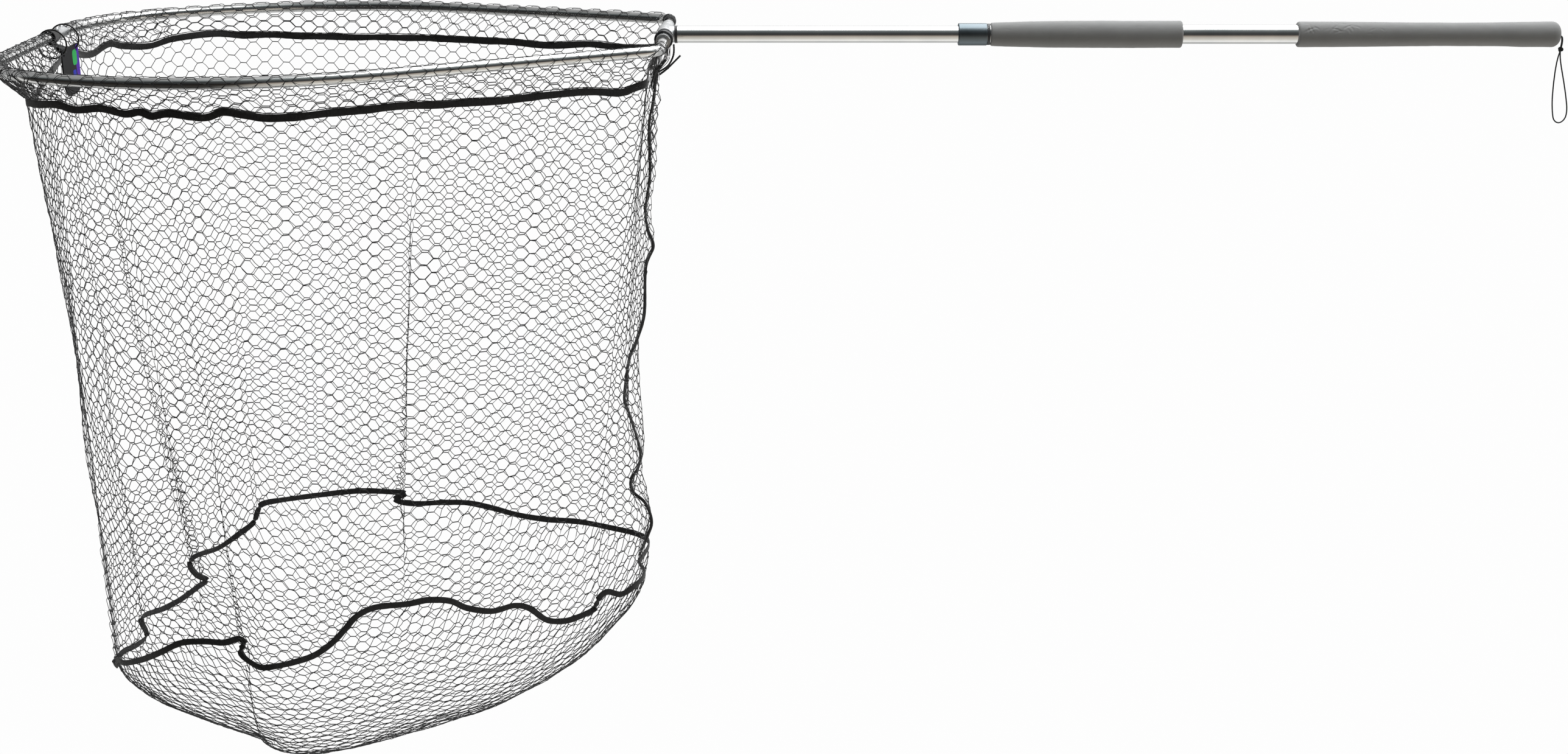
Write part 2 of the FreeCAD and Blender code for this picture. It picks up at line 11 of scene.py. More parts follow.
import bpy
import numpy as np
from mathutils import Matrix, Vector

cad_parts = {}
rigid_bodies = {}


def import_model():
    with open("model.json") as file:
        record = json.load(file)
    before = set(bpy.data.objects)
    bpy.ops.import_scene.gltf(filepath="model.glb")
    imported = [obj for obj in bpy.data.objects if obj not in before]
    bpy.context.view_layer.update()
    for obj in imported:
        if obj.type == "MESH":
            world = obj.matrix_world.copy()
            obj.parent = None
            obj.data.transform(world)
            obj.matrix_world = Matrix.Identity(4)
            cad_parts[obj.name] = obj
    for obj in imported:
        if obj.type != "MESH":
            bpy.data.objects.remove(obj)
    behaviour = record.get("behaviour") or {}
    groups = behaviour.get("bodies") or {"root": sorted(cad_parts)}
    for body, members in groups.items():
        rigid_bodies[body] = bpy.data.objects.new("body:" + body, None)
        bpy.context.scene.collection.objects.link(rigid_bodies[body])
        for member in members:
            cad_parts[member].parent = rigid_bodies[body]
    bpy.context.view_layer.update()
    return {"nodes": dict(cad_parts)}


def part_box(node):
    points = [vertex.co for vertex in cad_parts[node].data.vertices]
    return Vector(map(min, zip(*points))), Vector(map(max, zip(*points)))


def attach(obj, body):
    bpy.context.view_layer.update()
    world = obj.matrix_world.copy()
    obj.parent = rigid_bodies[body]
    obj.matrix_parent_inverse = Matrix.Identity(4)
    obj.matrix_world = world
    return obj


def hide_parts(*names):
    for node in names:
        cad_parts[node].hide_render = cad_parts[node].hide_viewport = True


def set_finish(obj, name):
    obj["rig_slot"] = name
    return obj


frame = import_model()
MM = 0.001


def middle_of(node):
    """The middle of a CAD node's box."""
    low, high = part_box(node)
    return (low + high) / 2


YOKE_X = middle_of("lashing_wraps").x      # line of the tee, where the hoop's two rails meet
BUTT_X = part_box("rear_grip")[1].x          # far end of the rear grip

# %% [markdown]
# ## Where we stand
# The camera comes first, because every later choice is judged through it. The net is held level a
# little below the eye, so the camera looks down by about seventeen degrees, which opens the hoop into
# a long ellipse and keeps the bag deep. The lens is 52 mm, with no shift and no blur.

# %% Camera
camera_data = bpy.data.cameras.new("camera")
camera = bpy.data.objects.new("camera", camera_data)
bpy.context.scene.collection.objects.link(camera)
camera_data.sensor_width = 36.0
camera_data.lens = 51.6
camera_data.clip_end = 100.0
camera.location = (-0.607, -3.0, 0.436)
camera.rotation_euler = (math.radians(90 - 16.94), 0.0, 0.0)
bpy.context.scene.camera = camera
print("camera at", tuple(round(v, 3) for v in camera.location))

# %% [markdown]
# ## Meshes from whole arrays
# A surface here is a grid of points with two parameters. The helper turns the grid into quads, closes
# it where the grid comes back to its start, and turns every face outwards by looking at the sign of
# the enclosed volume. The same helper makes tapes, cords and grips.


# %% Surfaces from grids
def mesh_object(name, points, quads, uv=None):
    """A mesh object from an (n, 3) array of points and an (m, 4) array of corners, facing outwards.

    The enclosed volume is the sum over the faces of (a x b) . c / 6, and the corners are reversed if
    it is negative. uv holds one (u, v) pair for each corner.
    """
    a, b, c, d = (points[quads[:, k]] for k in range(4))
    volume = (np.einsum("ij,ij->i", np.cross(a, b), c).sum()
              + np.einsum("ij,ij->i", np.cross(a, c), d).sum())
    if volume < 0:
        quads = quads[:, ::-1]
        uv = None if uv is None else uv[:, ::-1]
    mesh = bpy.data.meshes.new(name)
    mesh.vertices.add(len(points))
    mesh.vertices.foreach_set("co", points.astype(np.float32).ravel())
    mesh.loops.add(quads.size)
    mesh.loops.foreach_set("vertex_index", quads.astype(np.int32).ravel())
    mesh.polygons.add(len(quads))
    mesh.polygons.foreach_set("loop_start", np.arange(0, quads.size, 4, dtype=np.int32))
    mesh.update(calc_edges=True)
    mesh.polygons.foreach_set("use_smooth", np.ones(len(quads), bool))
    if uv is not None:
        mesh.uv_layers.new(name="UVMap").data.foreach_set("uv", uv.astype(np.float32).ravel())
    made = bpy.data.objects.new(name, mesh)
    bpy.context.scene.collection.objects.link(made)
    return made


def surface(name, grid, lengths=(1.0, 1.0), closed=(False, True), caps=False):
    """A surface from an (n, m, 3) grid. closed says in which directions the grid joins itself.

    The UV map runs from 0 to lengths, in metres. With caps, each end ring, of an even number of
    points, is closed by a strip of quads that join point k to point n - 1 - k.
    """
    rows, columns = grid.shape[:2]
    i, j = (v.ravel() for v in np.meshgrid(np.arange(rows - (not closed[0])),
                                           np.arange(columns - (not closed[1])), indexing="ij"))
    corner_i = np.stack([i, i + 1, i + 1, i], 1)
    corner_j = np.stack([j, j, j + 1, j + 1], 1)
    quads = (corner_i % rows) * columns + corner_j % columns
    uv = np.stack([corner_i / rows * lengths[0], corner_j / columns * lengths[1]], -1)
    if caps:
        k = np.arange(columns // 2 - 1)
        strip = np.stack([k, k + 1, columns - 2 - k, columns - 1 - k], 1)
        quads = np.concatenate([quads, strip, (rows - 1) * columns + strip[:, ::-1]])
        cap_uv = np.stack([0 * strip, strip / columns * lengths[1]], -1)
        uv = np.concatenate([uv, cap_uv, cap_uv[:, ::-1]])
    return mesh_object(name, grid.reshape(-1, 3), quads, uv)


def unit(vectors):
    """Vectors scaled to length one along the last axis."""
    return vectors / np.maximum(np.linalg.norm(vectors, axis=-1, keepdims=True), 1e-12)


def along(path, distances=None, count=None):
    """Points at the given distances along a polyline, or count evenly spaced ones."""
    steps = np.linalg.norm(np.diff(path, axis=0), axis=1)
    reached = np.concatenate([[0.0], np.cumsum(steps)])
    if distances is None:
        distances = np.linspace(0.0, reached[-1], count)
    return np.stack([np.interp(distances, reached, path[:, k]) for k in range(3)], 1)


def spline(knots, per_span=12, closed=False):
    """A smooth curve through the knots: Catmull-Rom, whose tangent at a knot joins its neighbours."""
    knots = np.asarray(knots, float)
    if closed:
        ring = np.concatenate([knots[-1:], knots, knots[:2]])
    else:
        ring = np.concatenate([2 * knots[:1] - knots[1:2], knots, 2 * knots[-1:] - knots[-2:-1]])
    p0, p1, p2, p3 = ring[:-3, None], ring[1:-2, None], ring[2:-1, None], ring[3:, None]
    t = np.linspace(0, 1, per_span, endpoint=False)[None, :, None]
    curve = 0.5 * (2 * p1 + (p2 - p0) * t + (2 * p0 - 5 * p1 + 4 * p2 - p3) * t ** 2
                   + (3 * p1 - p0 - 3 * p2 + p3) * t ** 3)
    curve = curve.reshape(-1, knots.shape[1])
    return curve if closed else np.concatenate([curve, knots[-1:]])


def soft_noise(a, b, size, seed, waves=7):
    """A smooth random field of two lengths: a sum of plane waves about size long, from -1 to 1."""
    draw = np.random.default_rng(seed)
    total = np.zeros(np.broadcast(a, b).shape)
    for _ in range(waves):
        turn, phase = draw.uniform(0, 2 * math.pi), draw.uniform(0, 2 * math.pi)
        stretch = draw.uniform(0.7, 1.5)
        total += np.sin(2 * math.pi / (size * stretch) * (a * math.cos(turn) + b * math.sin(turn)) + phase)
    return total / waves * 1.6


# %% [markdown]
# ## Cords
# The lanyard is a thin braided cord that comes out of the butt, is closed by a knot and hangs in a
# long teardrop. Its route is a NURBS curve with the same points as the CAD model. The braid is real:
# the cord's radius rises and falls with two families of spirals, one turning each way, which gives the
# small crossing humps of a braided sleeve.

# %% Cord maker
def route_line(name, points):
    """The smooth line of a route, read back from a NURBS curve of order 3 that has no thickness."""
    curve = bpy.data.curves.new(name + "_route", "CURVE")
    curve.dimensions = "3D"
    curve.resolution_u = 24
    line = curve.splines.new("NURBS")
    line.points.add(len(points) - 1)
    line.points.foreach_set("co", np.column_stack([points, np.ones(len(points))]).ravel())
    line.order_u = 3
    line.use_endpoint_u = True
    carrier = bpy.data.objects.new(name + "_route", curve)
    mesh = bpy.data.meshes.new_from_object(carrier)
    found = np.empty(len(mesh.vertices) * 3, np.float32)
    mesh.vertices.foreach_get("co", found)
    bpy.data.objects.remove(carrier)
    bpy.data.meshes.remove(mesh)
    return found.reshape(-1, 3).astype(float)


def tube_grid(line, radius, sides, around=(0.0, 1.0, 0.0), closed=False):
    """Rings about a line. radius is a number or an array of one value for each ring and side.

    Each ring lies across the line's tangent T, with its first axis along T x around.
    """
    tangent = unit(np.roll(line, -1, 0) - np.roll(line, 1, 0) if closed else np.gradient(line, axis=0))
    first = unit(np.cross(tangent, np.asarray(around, float)))
    second = np.cross(tangent, first)
    angle = np.linspace(0, 2 * math.pi, sides, endpoint=False)
    radius = np.broadcast_to(radius, (len(line), sides))
    ring = first[:, None] * np.cos(angle)[None, :, None] + second[:, None] * np.sin(angle)[None, :, None]
    return line[:, None] + ring * radius[..., None]


def braided_cord(name, line, diameter, pitch, step=0.0005, sides=20, strands=4):
    """A cord along a line. Its radius is r (0.88 + 0.12 |sin a sin b|) for two opposite spirals a and b."""
    length = np.linalg.norm(np.diff(line, axis=0), axis=1).sum()
    line = along(line, count=int(length / step))
    run = np.linspace(0, length, len(line))[:, None] * 2 * math.pi / pitch
    angle = np.linspace(0, 2 * math.pi, sides, endpoint=False)[None, :]
    hump = np.abs(np.sin(strands / 2 * angle + run) * np.sin(strands / 2 * angle - run))
    grid = tube_grid(line, diameter / 2 * (0.88 + 0.12 * hump), sides)
    print(name, "length", round(length * 1000, 1), "mm")
    return surface(name, grid, (length, math.pi * diameter), (False, True), caps=True), line


# %% Lanyard
LANYARD_D = 1.9 * MM
LANYARD_ROUTE = np.array([
    (-3.0, -1.4, 0.0), (3.6, -1.4, -1.5), (4.8, -1.4, -9.0), (3.6, -1.3, -19.0), (0.6, -0.8, -31.0),
    (-0.8, 0.0, -47.0), (-1.2, 0.4, -67.0), (-1.0, 0.4, -87.0), (0.8, 0.2, -104.0), (3.4, 0.0, -116.2),
    (11.5, 0.0, -120.4), (19.4, 0.0, -113.6), (20.4, -0.2, -101.0), (16.8, -0.4, -83.0), (12.0, -0.2, -63.0),
    (7.2, 0.2, -45.0), (4.2, 0.9, -31.0), (3.6, 1.3, -19.0), (4.8, 1.4, -9.0), (3.6, 1.4, -1.5),
    (-3.0, 1.4, 0.0)]) * MM + [BUTT_X, 0, 0]
lanyard, lanyard_line = braided_cord("lanyard", route_line("lanyard", LANYARD_ROUTE), LANYARD_D, 5.0 * MM)

# The knot is one more short length of the cord, wound in a tight overhand: three lobes on a small torus.
KNOT_CORD_R = 0.95 * MM
knot_middle = np.array(middle_of("lanyard_knot"))
turn = np.linspace(0, 2 * math.pi, 400)
reach = (2.1 + 0.75 * np.cos(3 * turn)) * MM
knot_line = knot_middle + np.stack([reach * np.cos(2 * turn), KNOT_CORD_R * np.sin(3 * turn),
                                    reach * np.sin(2 * turn)], 1)
knot = surface("lanyard_overhand_knot", tube_grid(knot_line[:-1], KNOT_CORD_R, 12, closed=True),
               (0.03, 0.006), (True, True))
for piece, node in ((lanyard, "lanyard_cord"), (knot, "lanyard_knot")):
    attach(piece, "handle")
    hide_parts(node)
    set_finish(piece, "lanyard_cord")

# %% [markdown]
# ## Lashing at the tee
# A waxed cord is wound round the near socket of the tee and holds the corner of the net. One strand
# runs down from the winding to the net, and the cut tail stands out from the knot there. The winding is
# one helix, so its turns lean a little, as wound cord does.

# %% Lashing
LASH_D, LASH_PITCH = 2.6 * MM, 6.0 * MM
wraps_low, wraps_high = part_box("lashing_wraps")
NECK_R = (wraps_high.x - wraps_low.x) / 2 - LASH_D
turns = 3.6
wind = np.linspace(0, 1, 260)
sweep = 2 * math.pi * turns * wind
wind_r = NECK_R + LASH_D / 2 + 0.1 * MM * np.sin(5 * sweep)
wind_y = wraps_low.y + LASH_D / 2 + (wraps_high.y - wraps_low.y - LASH_D) * wind
winding_line = np.stack([YOKE_X + wind_r * np.cos(sweep), wind_y, wind_r * np.sin(sweep)], 1)
winding, _ = braided_cord("lashing_winding", winding_line, LASH_D, LASH_PITCH, sides=14)
TIE_ROUTE = np.array([(13.0, -48, -6), (14.0, -48, -16), (10, -47, -28), (3, -44, -38), (-8, -38, -44)]) * MM
TAIL_ROUTE = np.array([(-6, -48, -46), (2, -52, -40), (12, -54, -30), (22, -53, -20)]) * MM
tie, tie_line = braided_cord("lashing_strand", route_line("tie", TIE_ROUTE + [YOKE_X, 0, 0]), LASH_D,
                             LASH_PITCH, sides=14)
tail, tail_line = braided_cord("lashing_cut_tail", route_line("tail", TAIL_ROUTE + [YOKE_X, 0, 0]), LASH_D,
                               LASH_PITCH, sides=14)
for piece, node in ((winding, "lashing_wraps"), (tie, "lashing_tie"), (tail, "lashing_tail")):
    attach(piece, "front_section")
    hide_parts(node)
    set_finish(piece, "lashing_cord")

# %% [markdown]
# ## The hoop's outline, again
# Everything soft hangs on the hoop, so its outline is needed as a function of the distance round it:
# a straight front bar, a corner arc, a bowed side arc, a straight rail, a small bend and a stub into
# the tee. Each stretch is a circle or a line, so the outward direction comes for free.

# %% Outline of the hoop
HOOP_TUBE_R = 7.0 * MM
HOOP_LENGTH, FRONT_HALF = 843 * MM, 125 * MM
CORNER_R, SIDE_R, YOKE_R = 180 * MM, 470 * MM, 32 * MM
CORNER_TURN, RAIL_ANGLE = math.radians(60.0), math.radians(25.4)
DROOP = math.radians(0.93)


def hoop_half():
    """Half the outline as dense points (u, y) and outward directions, from the front bar to the tee.

    u is the distance in front of the tee. On an arc of radius r about c the place at heading a is
    c + r (sin a, cos a), and the outward direction is (sin a, cos a).
    """
    corner = np.array([HOOP_LENGTH - CORNER_R, FRONT_HALF])
    start = math.pi / 2 - CORNER_TURN
    side = corner - (SIDE_R - CORNER_R) * np.array([math.sin(start), math.cos(start)])
    rail = side + SIDE_R * np.array([-math.sin(RAIL_ANGLE), math.cos(RAIL_ANGLE)])
    at_tee = rail[1] - math.tan(RAIL_ANGLE) * rail[0]
    bend = np.array([YOKE_R, at_tee - YOKE_R * math.tan((math.pi / 2 - RAIL_ANGLE) / 2)])
    places, headings = [np.array([[HOOP_LENGTH, 0.0]])], [np.array([math.pi / 2])]
    arcs = ((corner, CORNER_R, math.pi / 2, start), (side, SIDE_R, start, -RAIL_ANGLE),
            (bend, YOKE_R, -RAIL_ANGLE, -math.pi / 2))
    for centre, radius, first, last in arcs:
        heading = np.linspace(first, last, 60)
        places.append(centre + radius * np.stack([np.sin(heading), np.cos(heading)], 1))
        headings.append(heading)
    places.append(np.array([[0.0, 0.0]]))
    headings.append(np.array([-math.pi / 2]))
    return np.concatenate(places), np.concatenate(headings)


half_places, half_headings = hoop_half()
half_reached = np.concatenate([[0.0], np.cumsum(np.linalg.norm(np.diff(half_places, axis=0), axis=1))])
HALF = half_reached[-1]


def hoop_at(s):
    """Centre line (u, y) and outward direction at distance s round the hoop, from the middle of the front.

    s runs from 0 to HALF on the far side, and on to 2 HALF back along the near side.
    """
    s = np.mod(s, 2 * HALF)
    back = s > HALF
    reached = np.where(back, 2 * HALF - s, s)
    side = np.where(back, -1.0, 1.0)
    heading = np.interp(reached, half_reached, half_headings)
    u, y = (np.interp(reached, half_reached, half_places[:, k]) for k in (0, 1))
    return u, side * y, np.sin(heading), side * np.cos(heading)


def head_place(u, y, z):
    """A place on the head, with the droop, as an array of x, y, z."""
    return np.stack([YOKE_X - u * math.cos(DROOP) - z * math.sin(DROOP), y + 0 * u,
                     z * math.cos(DROOP) - u * math.sin(DROOP)], -1)


print("half the hoop's outline is", round(HALF * 1000), "mm")

# %% [markdown]
# ## The bag's lines
# Two tapes hold the bag in shape. The top tape hangs under the hoop and waves a little. The base tape
# is as long, but the bag is narrower there, so it runs in waves and doubles back on itself in a few
# sharp folds. The netting between them must follow both, so the tapes' lines come first. The base line
# is a smooth curve through places chosen along it, and its folds are part of the curve.

# %% Tape lines
TAPE_INSET, TAPE_Z, TAPE_HEIGHT, TAPE_THICK = 16.5 * MM, -42 * MM, 9.6 * MM, 1.8 * MM
# Height of the top tape's middle, in millimetres, at distances round each half of the hoop.
FAR_WAVE = [
    (0, -36), (58, -26), (111, -29), (174, -40), (218, -31), (246, -37), (291, -41), (330, -34), (393, -31),
    (441, -36), (515, -40), (591, -43), (843, -43), (926, -44), (992, -39), (1050, -41), (1190, -38),
    (1262, -35)]
NEAR_WAVE = [
    (0, -36), (50, -46), (100, -55), (160, -50), (240, -42), (316, -36), (354, -39), (396, -35), (431, -41),
    (453, -38), (469, -42), (493, -38), (537, -44), (562, -37), (588, -41), (622, -46), (700, -43),
    (768, -42), (908, -47), (1016, -45), (1068, -51), (1093, -46), (1140, -38), (1165, -33), (1190, -33),
    (1262, -35)]
far_wave, near_wave = (spline(wave, 10) * MM for wave in (FAR_WAVE, NEAR_WAVE))


def corner_draw(s):
    """How far the net is drawn in at the near front corner: 15 mm exp(-((s + 190) / 150)^2)."""
    signed = np.mod(s + HALF, 2 * HALF) - HALF      # minus on the near half
    return 15 * MM * np.exp(-((signed + 190 * MM) / (150 * MM)) ** 2)


def top_line(s):
    """The middle of the top tape at distance s round the hoop: inside it, below it, and wavy."""
    u, y, nu, ny = hoop_at(s)
    inset = TAPE_INSET + 2.5 * MM * soft_noise(s, 0 * s, 0.21, 11) + corner_draw(s)
    round_all = np.mod(s, 2 * HALF)
    round_half = np.minimum(round_all, 2 * HALF - round_all)
    height = np.where(round_all > HALF, np.interp(round_half, near_wave[:, 0], near_wave[:, 1]),
                      np.interp(round_half, far_wave[:, 0], far_wave[:, 1]))
    sag = 0.9 * MM * soft_noise(s, 0 * s, 0.06, 12)
    return head_place(u - inset * nu, y - inset * ny, height + sag)


# Distance in front of the tee, side and height, from the front corner to the yoke end.
FAR_BASE = [
    (815, 0, -912), (806, 20, -903), (793, 45, -903), (784, 67, -897), (788, 64, -868), (767, 106, -871),
    (747, 130, -866), (727, 154, -856), (716, 166, -850), (727, 156, -838), (734, 147, -820),
    (732, 150, -810), (722, 158, -805), (699, 186, -805), (668, 199, -786), (649, 207, -772),
    (642, 210, -754), (634, 213, -744), (605, 225, -742), (545, 250, -742), (497, 253, -738),
    (455, 240, -734), (421, 229, -733), (429, 232, -739), (437, 233, -744), (424, 229, -748),
    (400, 221, -747), (362, 207, -740), (320, 192, -735), (280, 177, -738), (240, 161, -743),
    (195, 142, -743), (146, 122, -739), (97, 102, -741), (55, 82, -744), (38, 50, -746)]
NEAR_BASE = [
    (806, -15, -909), (797, -39, -890), (778, -85, -870), (762, -113, -861), (724, -157, -836),
    (690, -188, -812), (655, -206, -790), (620, -219, -782), (590, -232, -778), (567, -242, -768),
    (559, -245, -774), (566, -243, -783), (563, -244, -792), (553, -248, -799), (538, -256, -803),
    (520, -261, -800), (493, -253, -797), (467, -243, -791), (444, -236, -776), (428, -230, -760),
    (412, -225, -743), (388, -216, -734), (348, -202, -735), (322, -193, -733), (293, -182, -739),
    (272, -173, -753), (240, -160, -763), (212, -148, -760), (192, -140, -767), (170, -131, -788),
    (147, -122, -794), (127, -114, -791), (106, -105, -783), (100, -103, -769), (88, -98, -760),
    (69, -90, -767), (50, -80, -758), (38, -52, -751)]
YOKE_BASE = (50, 0, -755)


def base_half(route):
    """Dense points (u, y, z) in metres from the front corner to the yoke end, with their distances."""
    knots = np.array(route + [YOKE_BASE]) * MM
    if route is NEAR_BASE:
        knots = np.concatenate([np.array([FAR_BASE[0]]) * MM, knots])
    line = spline(knots, 10)
    return line, np.concatenate([[0.0], np.cumsum(np.linalg.norm(np.diff(line, axis=0), axis=1))])


far_line, far_reached = base_half(FAR_BASE)
near_line, near_reached = base_half(NEAR_BASE)
print("base tape, far half", round(far_reached[-1] * 1000), "mm, near half",
      round(near_reached[-1] * 1000), "mm")


def pairing(s_half, anchors):
    """Share of the base tape that is sewn under distance s of the hoop, smooth through the anchors."""
    shares = np.linspace(0, 1, 200)
    known = np.array([(0.0, 0.0)] + anchors + [(1.0, 1.0)])
    rough = np.interp(shares, known[:, 0], known[:, 1])
    padded = np.concatenate([rough[0] - rough[12:0:-1], rough, 2 * rough[-1] - rough[-2:-14:-1]])
    smooth = np.convolve(padded, np.ones(25) / 25, "valid")
    return np.interp(s_half / HALF, shares, smooth)


def share_at(line, reached, u):
    """Share of the way along a half of the base tape where it first comes as near the tee as u."""
    return reached[np.argmax(line[:, 0] < u * MM)] / reached[-1]


# The folds of the base tape lie under these distances round the hoop.
FAR_FOLD_S, FAR_FOLD_2_S, NEAR_FOLD_S = 150 * MM, 700 * MM, 470 * MM
FAR_ANCHORS = [(FAR_FOLD_S / HALF, share_at(far_line, far_reached, 717)),
               (FAR_FOLD_2_S / HALF, share_at(far_line, far_reached, 423))]
NEAR_ANCHORS = [(150 * MM / HALF, share_at(near_line, near_reached, 740)),
                (NEAR_FOLD_S / HALF, share_at(near_line, near_reached, 561)),
                (700 * MM / HALF, share_at(near_line, near_reached, 425))]


def base_at(s):
    """The middle of the base tape under distance s round the hoop."""
    s = np.mod(s, 2 * HALF)
    back = s > HALF
    half = np.where(back, 2 * HALF - s, s)
    far = pairing(half, FAR_ANCHORS) * far_reached[-1]
    near = pairing(half, NEAR_ANCHORS) * near_reached[-1]
    axes = [np.where(back, np.interp(near, near_reached, near_line[:, k]),
                     np.interp(far, far_reached, far_line[:, k])) for k in range(3)]
    return np.stack([YOKE_X - axes[0], axes[1], axes[2]], -1)


# %% [markdown]
# ## Netting
# Knotless netting is a lattice of six-sided cells. Two yarns run side by side for eight millimetres,
# part, and join their other neighbours. So each cell has a doubled, thicker side along the rows and
# four thin slanting sides. Columns of cells stand 16.5 mm apart and a cell is 18.9 mm high. The
# lattice is worked out flat, and each yarn is laid on the bag by a function of two lengths. Drawing
# the holes with a transparent picture would be lighter, but real strands catch light and shade, cross
# behind each other and stay round from every side.

# %% Flat lattice and strands
COLUMN, ROW, SIDE = 16.5 * MM, 18.9 * MM, 8.0 * MM      # pitches, and the length of the doubled side
THICK_R, THIN_R = 0.75 * MM, 0.49 * MM
SHORTEST = 2 * MM                                       # cut strands shorter than this are left out


def lattice(columns, first_row, last_row, offset=0):
    """Ends of the strands of a flat net: arrays (n, 2, 2) for the doubled sides and the slanting ones.

    Doubled sides stand at column i and height (k + i/2 mod 1) ROW. A slanting side joins the right end
    of one to the left end of the next column's, half a row up or down.
    """
    i, k = np.meshgrid(np.arange(columns), np.arange(first_row, last_row), indexing="ij")
    i, k = i.ravel(), k.ravel()
    across = (i + offset) * COLUMN
    height = (k + 0.5 * (i % 2)) * ROW
    left = np.stack([across - SIDE / 2, height], 1)
    right = np.stack([across + SIDE / 2, height], 1)
    up = np.stack([across + COLUMN - SIDE / 2, height + ROW / 2], 1)
    down = np.stack([across + COLUMN - SIDE / 2, height - ROW / 2], 1)
    doubled = np.stack([left, right], 1)
    slanting = np.concatenate([np.stack([right, up], 1), np.stack([right, down], 1)])
    return doubled, slanting


def strands(name, runs, sides=4):
    """Thin closed tubes, one for each strand. runs is a list of (points (n, rings, 3), radius).

    A ring's first axis is along T x Z, turned by half a side, and the two ends are closed by quads.
    """
    all_points, all_quads, count = [], [], 0
    for points, radius in runs:
        many, rings = points.shape[:2]
        tangent = unit(np.gradient(points, axis=1))
        upright = np.array([0.0, 0.0, 1.0]) + np.array([0.93, 0.31, 0.0]) * (np.abs(tangent[..., 2:]) > 0.96)
        first = unit(np.cross(tangent, upright))
        second = np.cross(tangent, first)
        angle = (np.arange(sides) + 0.5) * 2 * math.pi / sides
        ring = (first[:, :, None] * np.cos(angle)[:, None]
                + second[:, :, None] * np.sin(angle)[:, None])
        all_points.append((points[:, :, None] + ring * radius).reshape(-1, 3))
        strand, r, j = (v.ravel() for v in np.meshgrid(np.arange(many), np.arange(rings - 1),
                                                       np.arange(sides), indexing="ij"))
        low = count + (strand * rings + r) * sides
        walls = np.stack([low + j, low + (j + 1) % sides, low + sides + (j + 1) % sides, low + sides + j], 1)
        end = count + np.arange(many)[:, None] * rings * sides
        close = np.concatenate([end + np.arange(sides)[::-1], end + (rings - 1) * sides + np.arange(sides)])
        all_quads += [walls, close]
        count += many * rings * sides
    made = mesh_object(name, np.concatenate(all_points), np.concatenate(all_quads))
    print(name, len(made.data.polygons) * 2, "triangles")
    return made


def laid(ends, place, rings, bow, seed):
    """Points (n, rings, 3) of strands laid on the bag, each bowed a little, as slack yarn is."""
    share = np.linspace(0, 1, rings)
    flat = ends[:, :1] * (1 - share)[:, None] + ends[:, 1:] * share[:, None]
    points = place(flat[..., 0], flat[..., 1])
    push = np.random.default_rng(seed).normal(0, bow, (len(ends), 1, 3))
    return points + push * np.sin(math.pi * share)[None, :, None]


# %% [markdown]
# ## Wall of the bag
# A column of cells starts under the top tape and ends on the base tape. Between them it hangs nearly
# straight, so the wall is a blend of the two lines, with three changes: the yoke end is drawn in, soft
# vertical waves run down the sides, and three shallow pleats gather the cells into denser bands.

# %% The wall as a function of two lengths
SEAM_LINE = spline([
    (14, -42), (16, -68), (20, -94), (25, -122), (25, -190), (32, -236), (29, -264), (22, -288), (33, -318),
    (36, -384), (48, -425), (58, -450), (66, -503), (60, -527), (46, -577), (48, -605), (59, -625),
    (57, -643), (40, -660), (31, -686), (36, -707), (50, -740)])[::-1] * MM
SEAM_REACH, DRAWN_REACH, DRAWN = 55 * MM, 160 * MM, 22 * MM     # how far round the seam draws the net in
BESIDE, BESIDE_REACH, BULGE = 36 * MM, 18 * MM, 13 * MM         # the fullness on both sides of the seam
# Pleats of the wall: where round the hoop, half width, depth, and share of the height where they start.
PLEATS = ((FAR_FOLD_S, 21 * MM, 1.55, 0.22), (FAR_FOLD_2_S, 20 * MM, 1.4, 0.34),
          (2 * HALF - NEAR_FOLD_S, 18 * MM, 1.4, 0.86))


def wall_height(s):
    """Straight distance between the tapes at s."""
    return np.linalg.norm(top_line(s) - base_at(s), axis=-1) - TAPE_HEIGHT / 2


def smooth_step(x):
    """0 below 0, 1 above 1, and 3 x^2 - 2 x^3 between."""
    x = np.clip(x, 0, 1)
    return x * x * (3 - 2 * x)


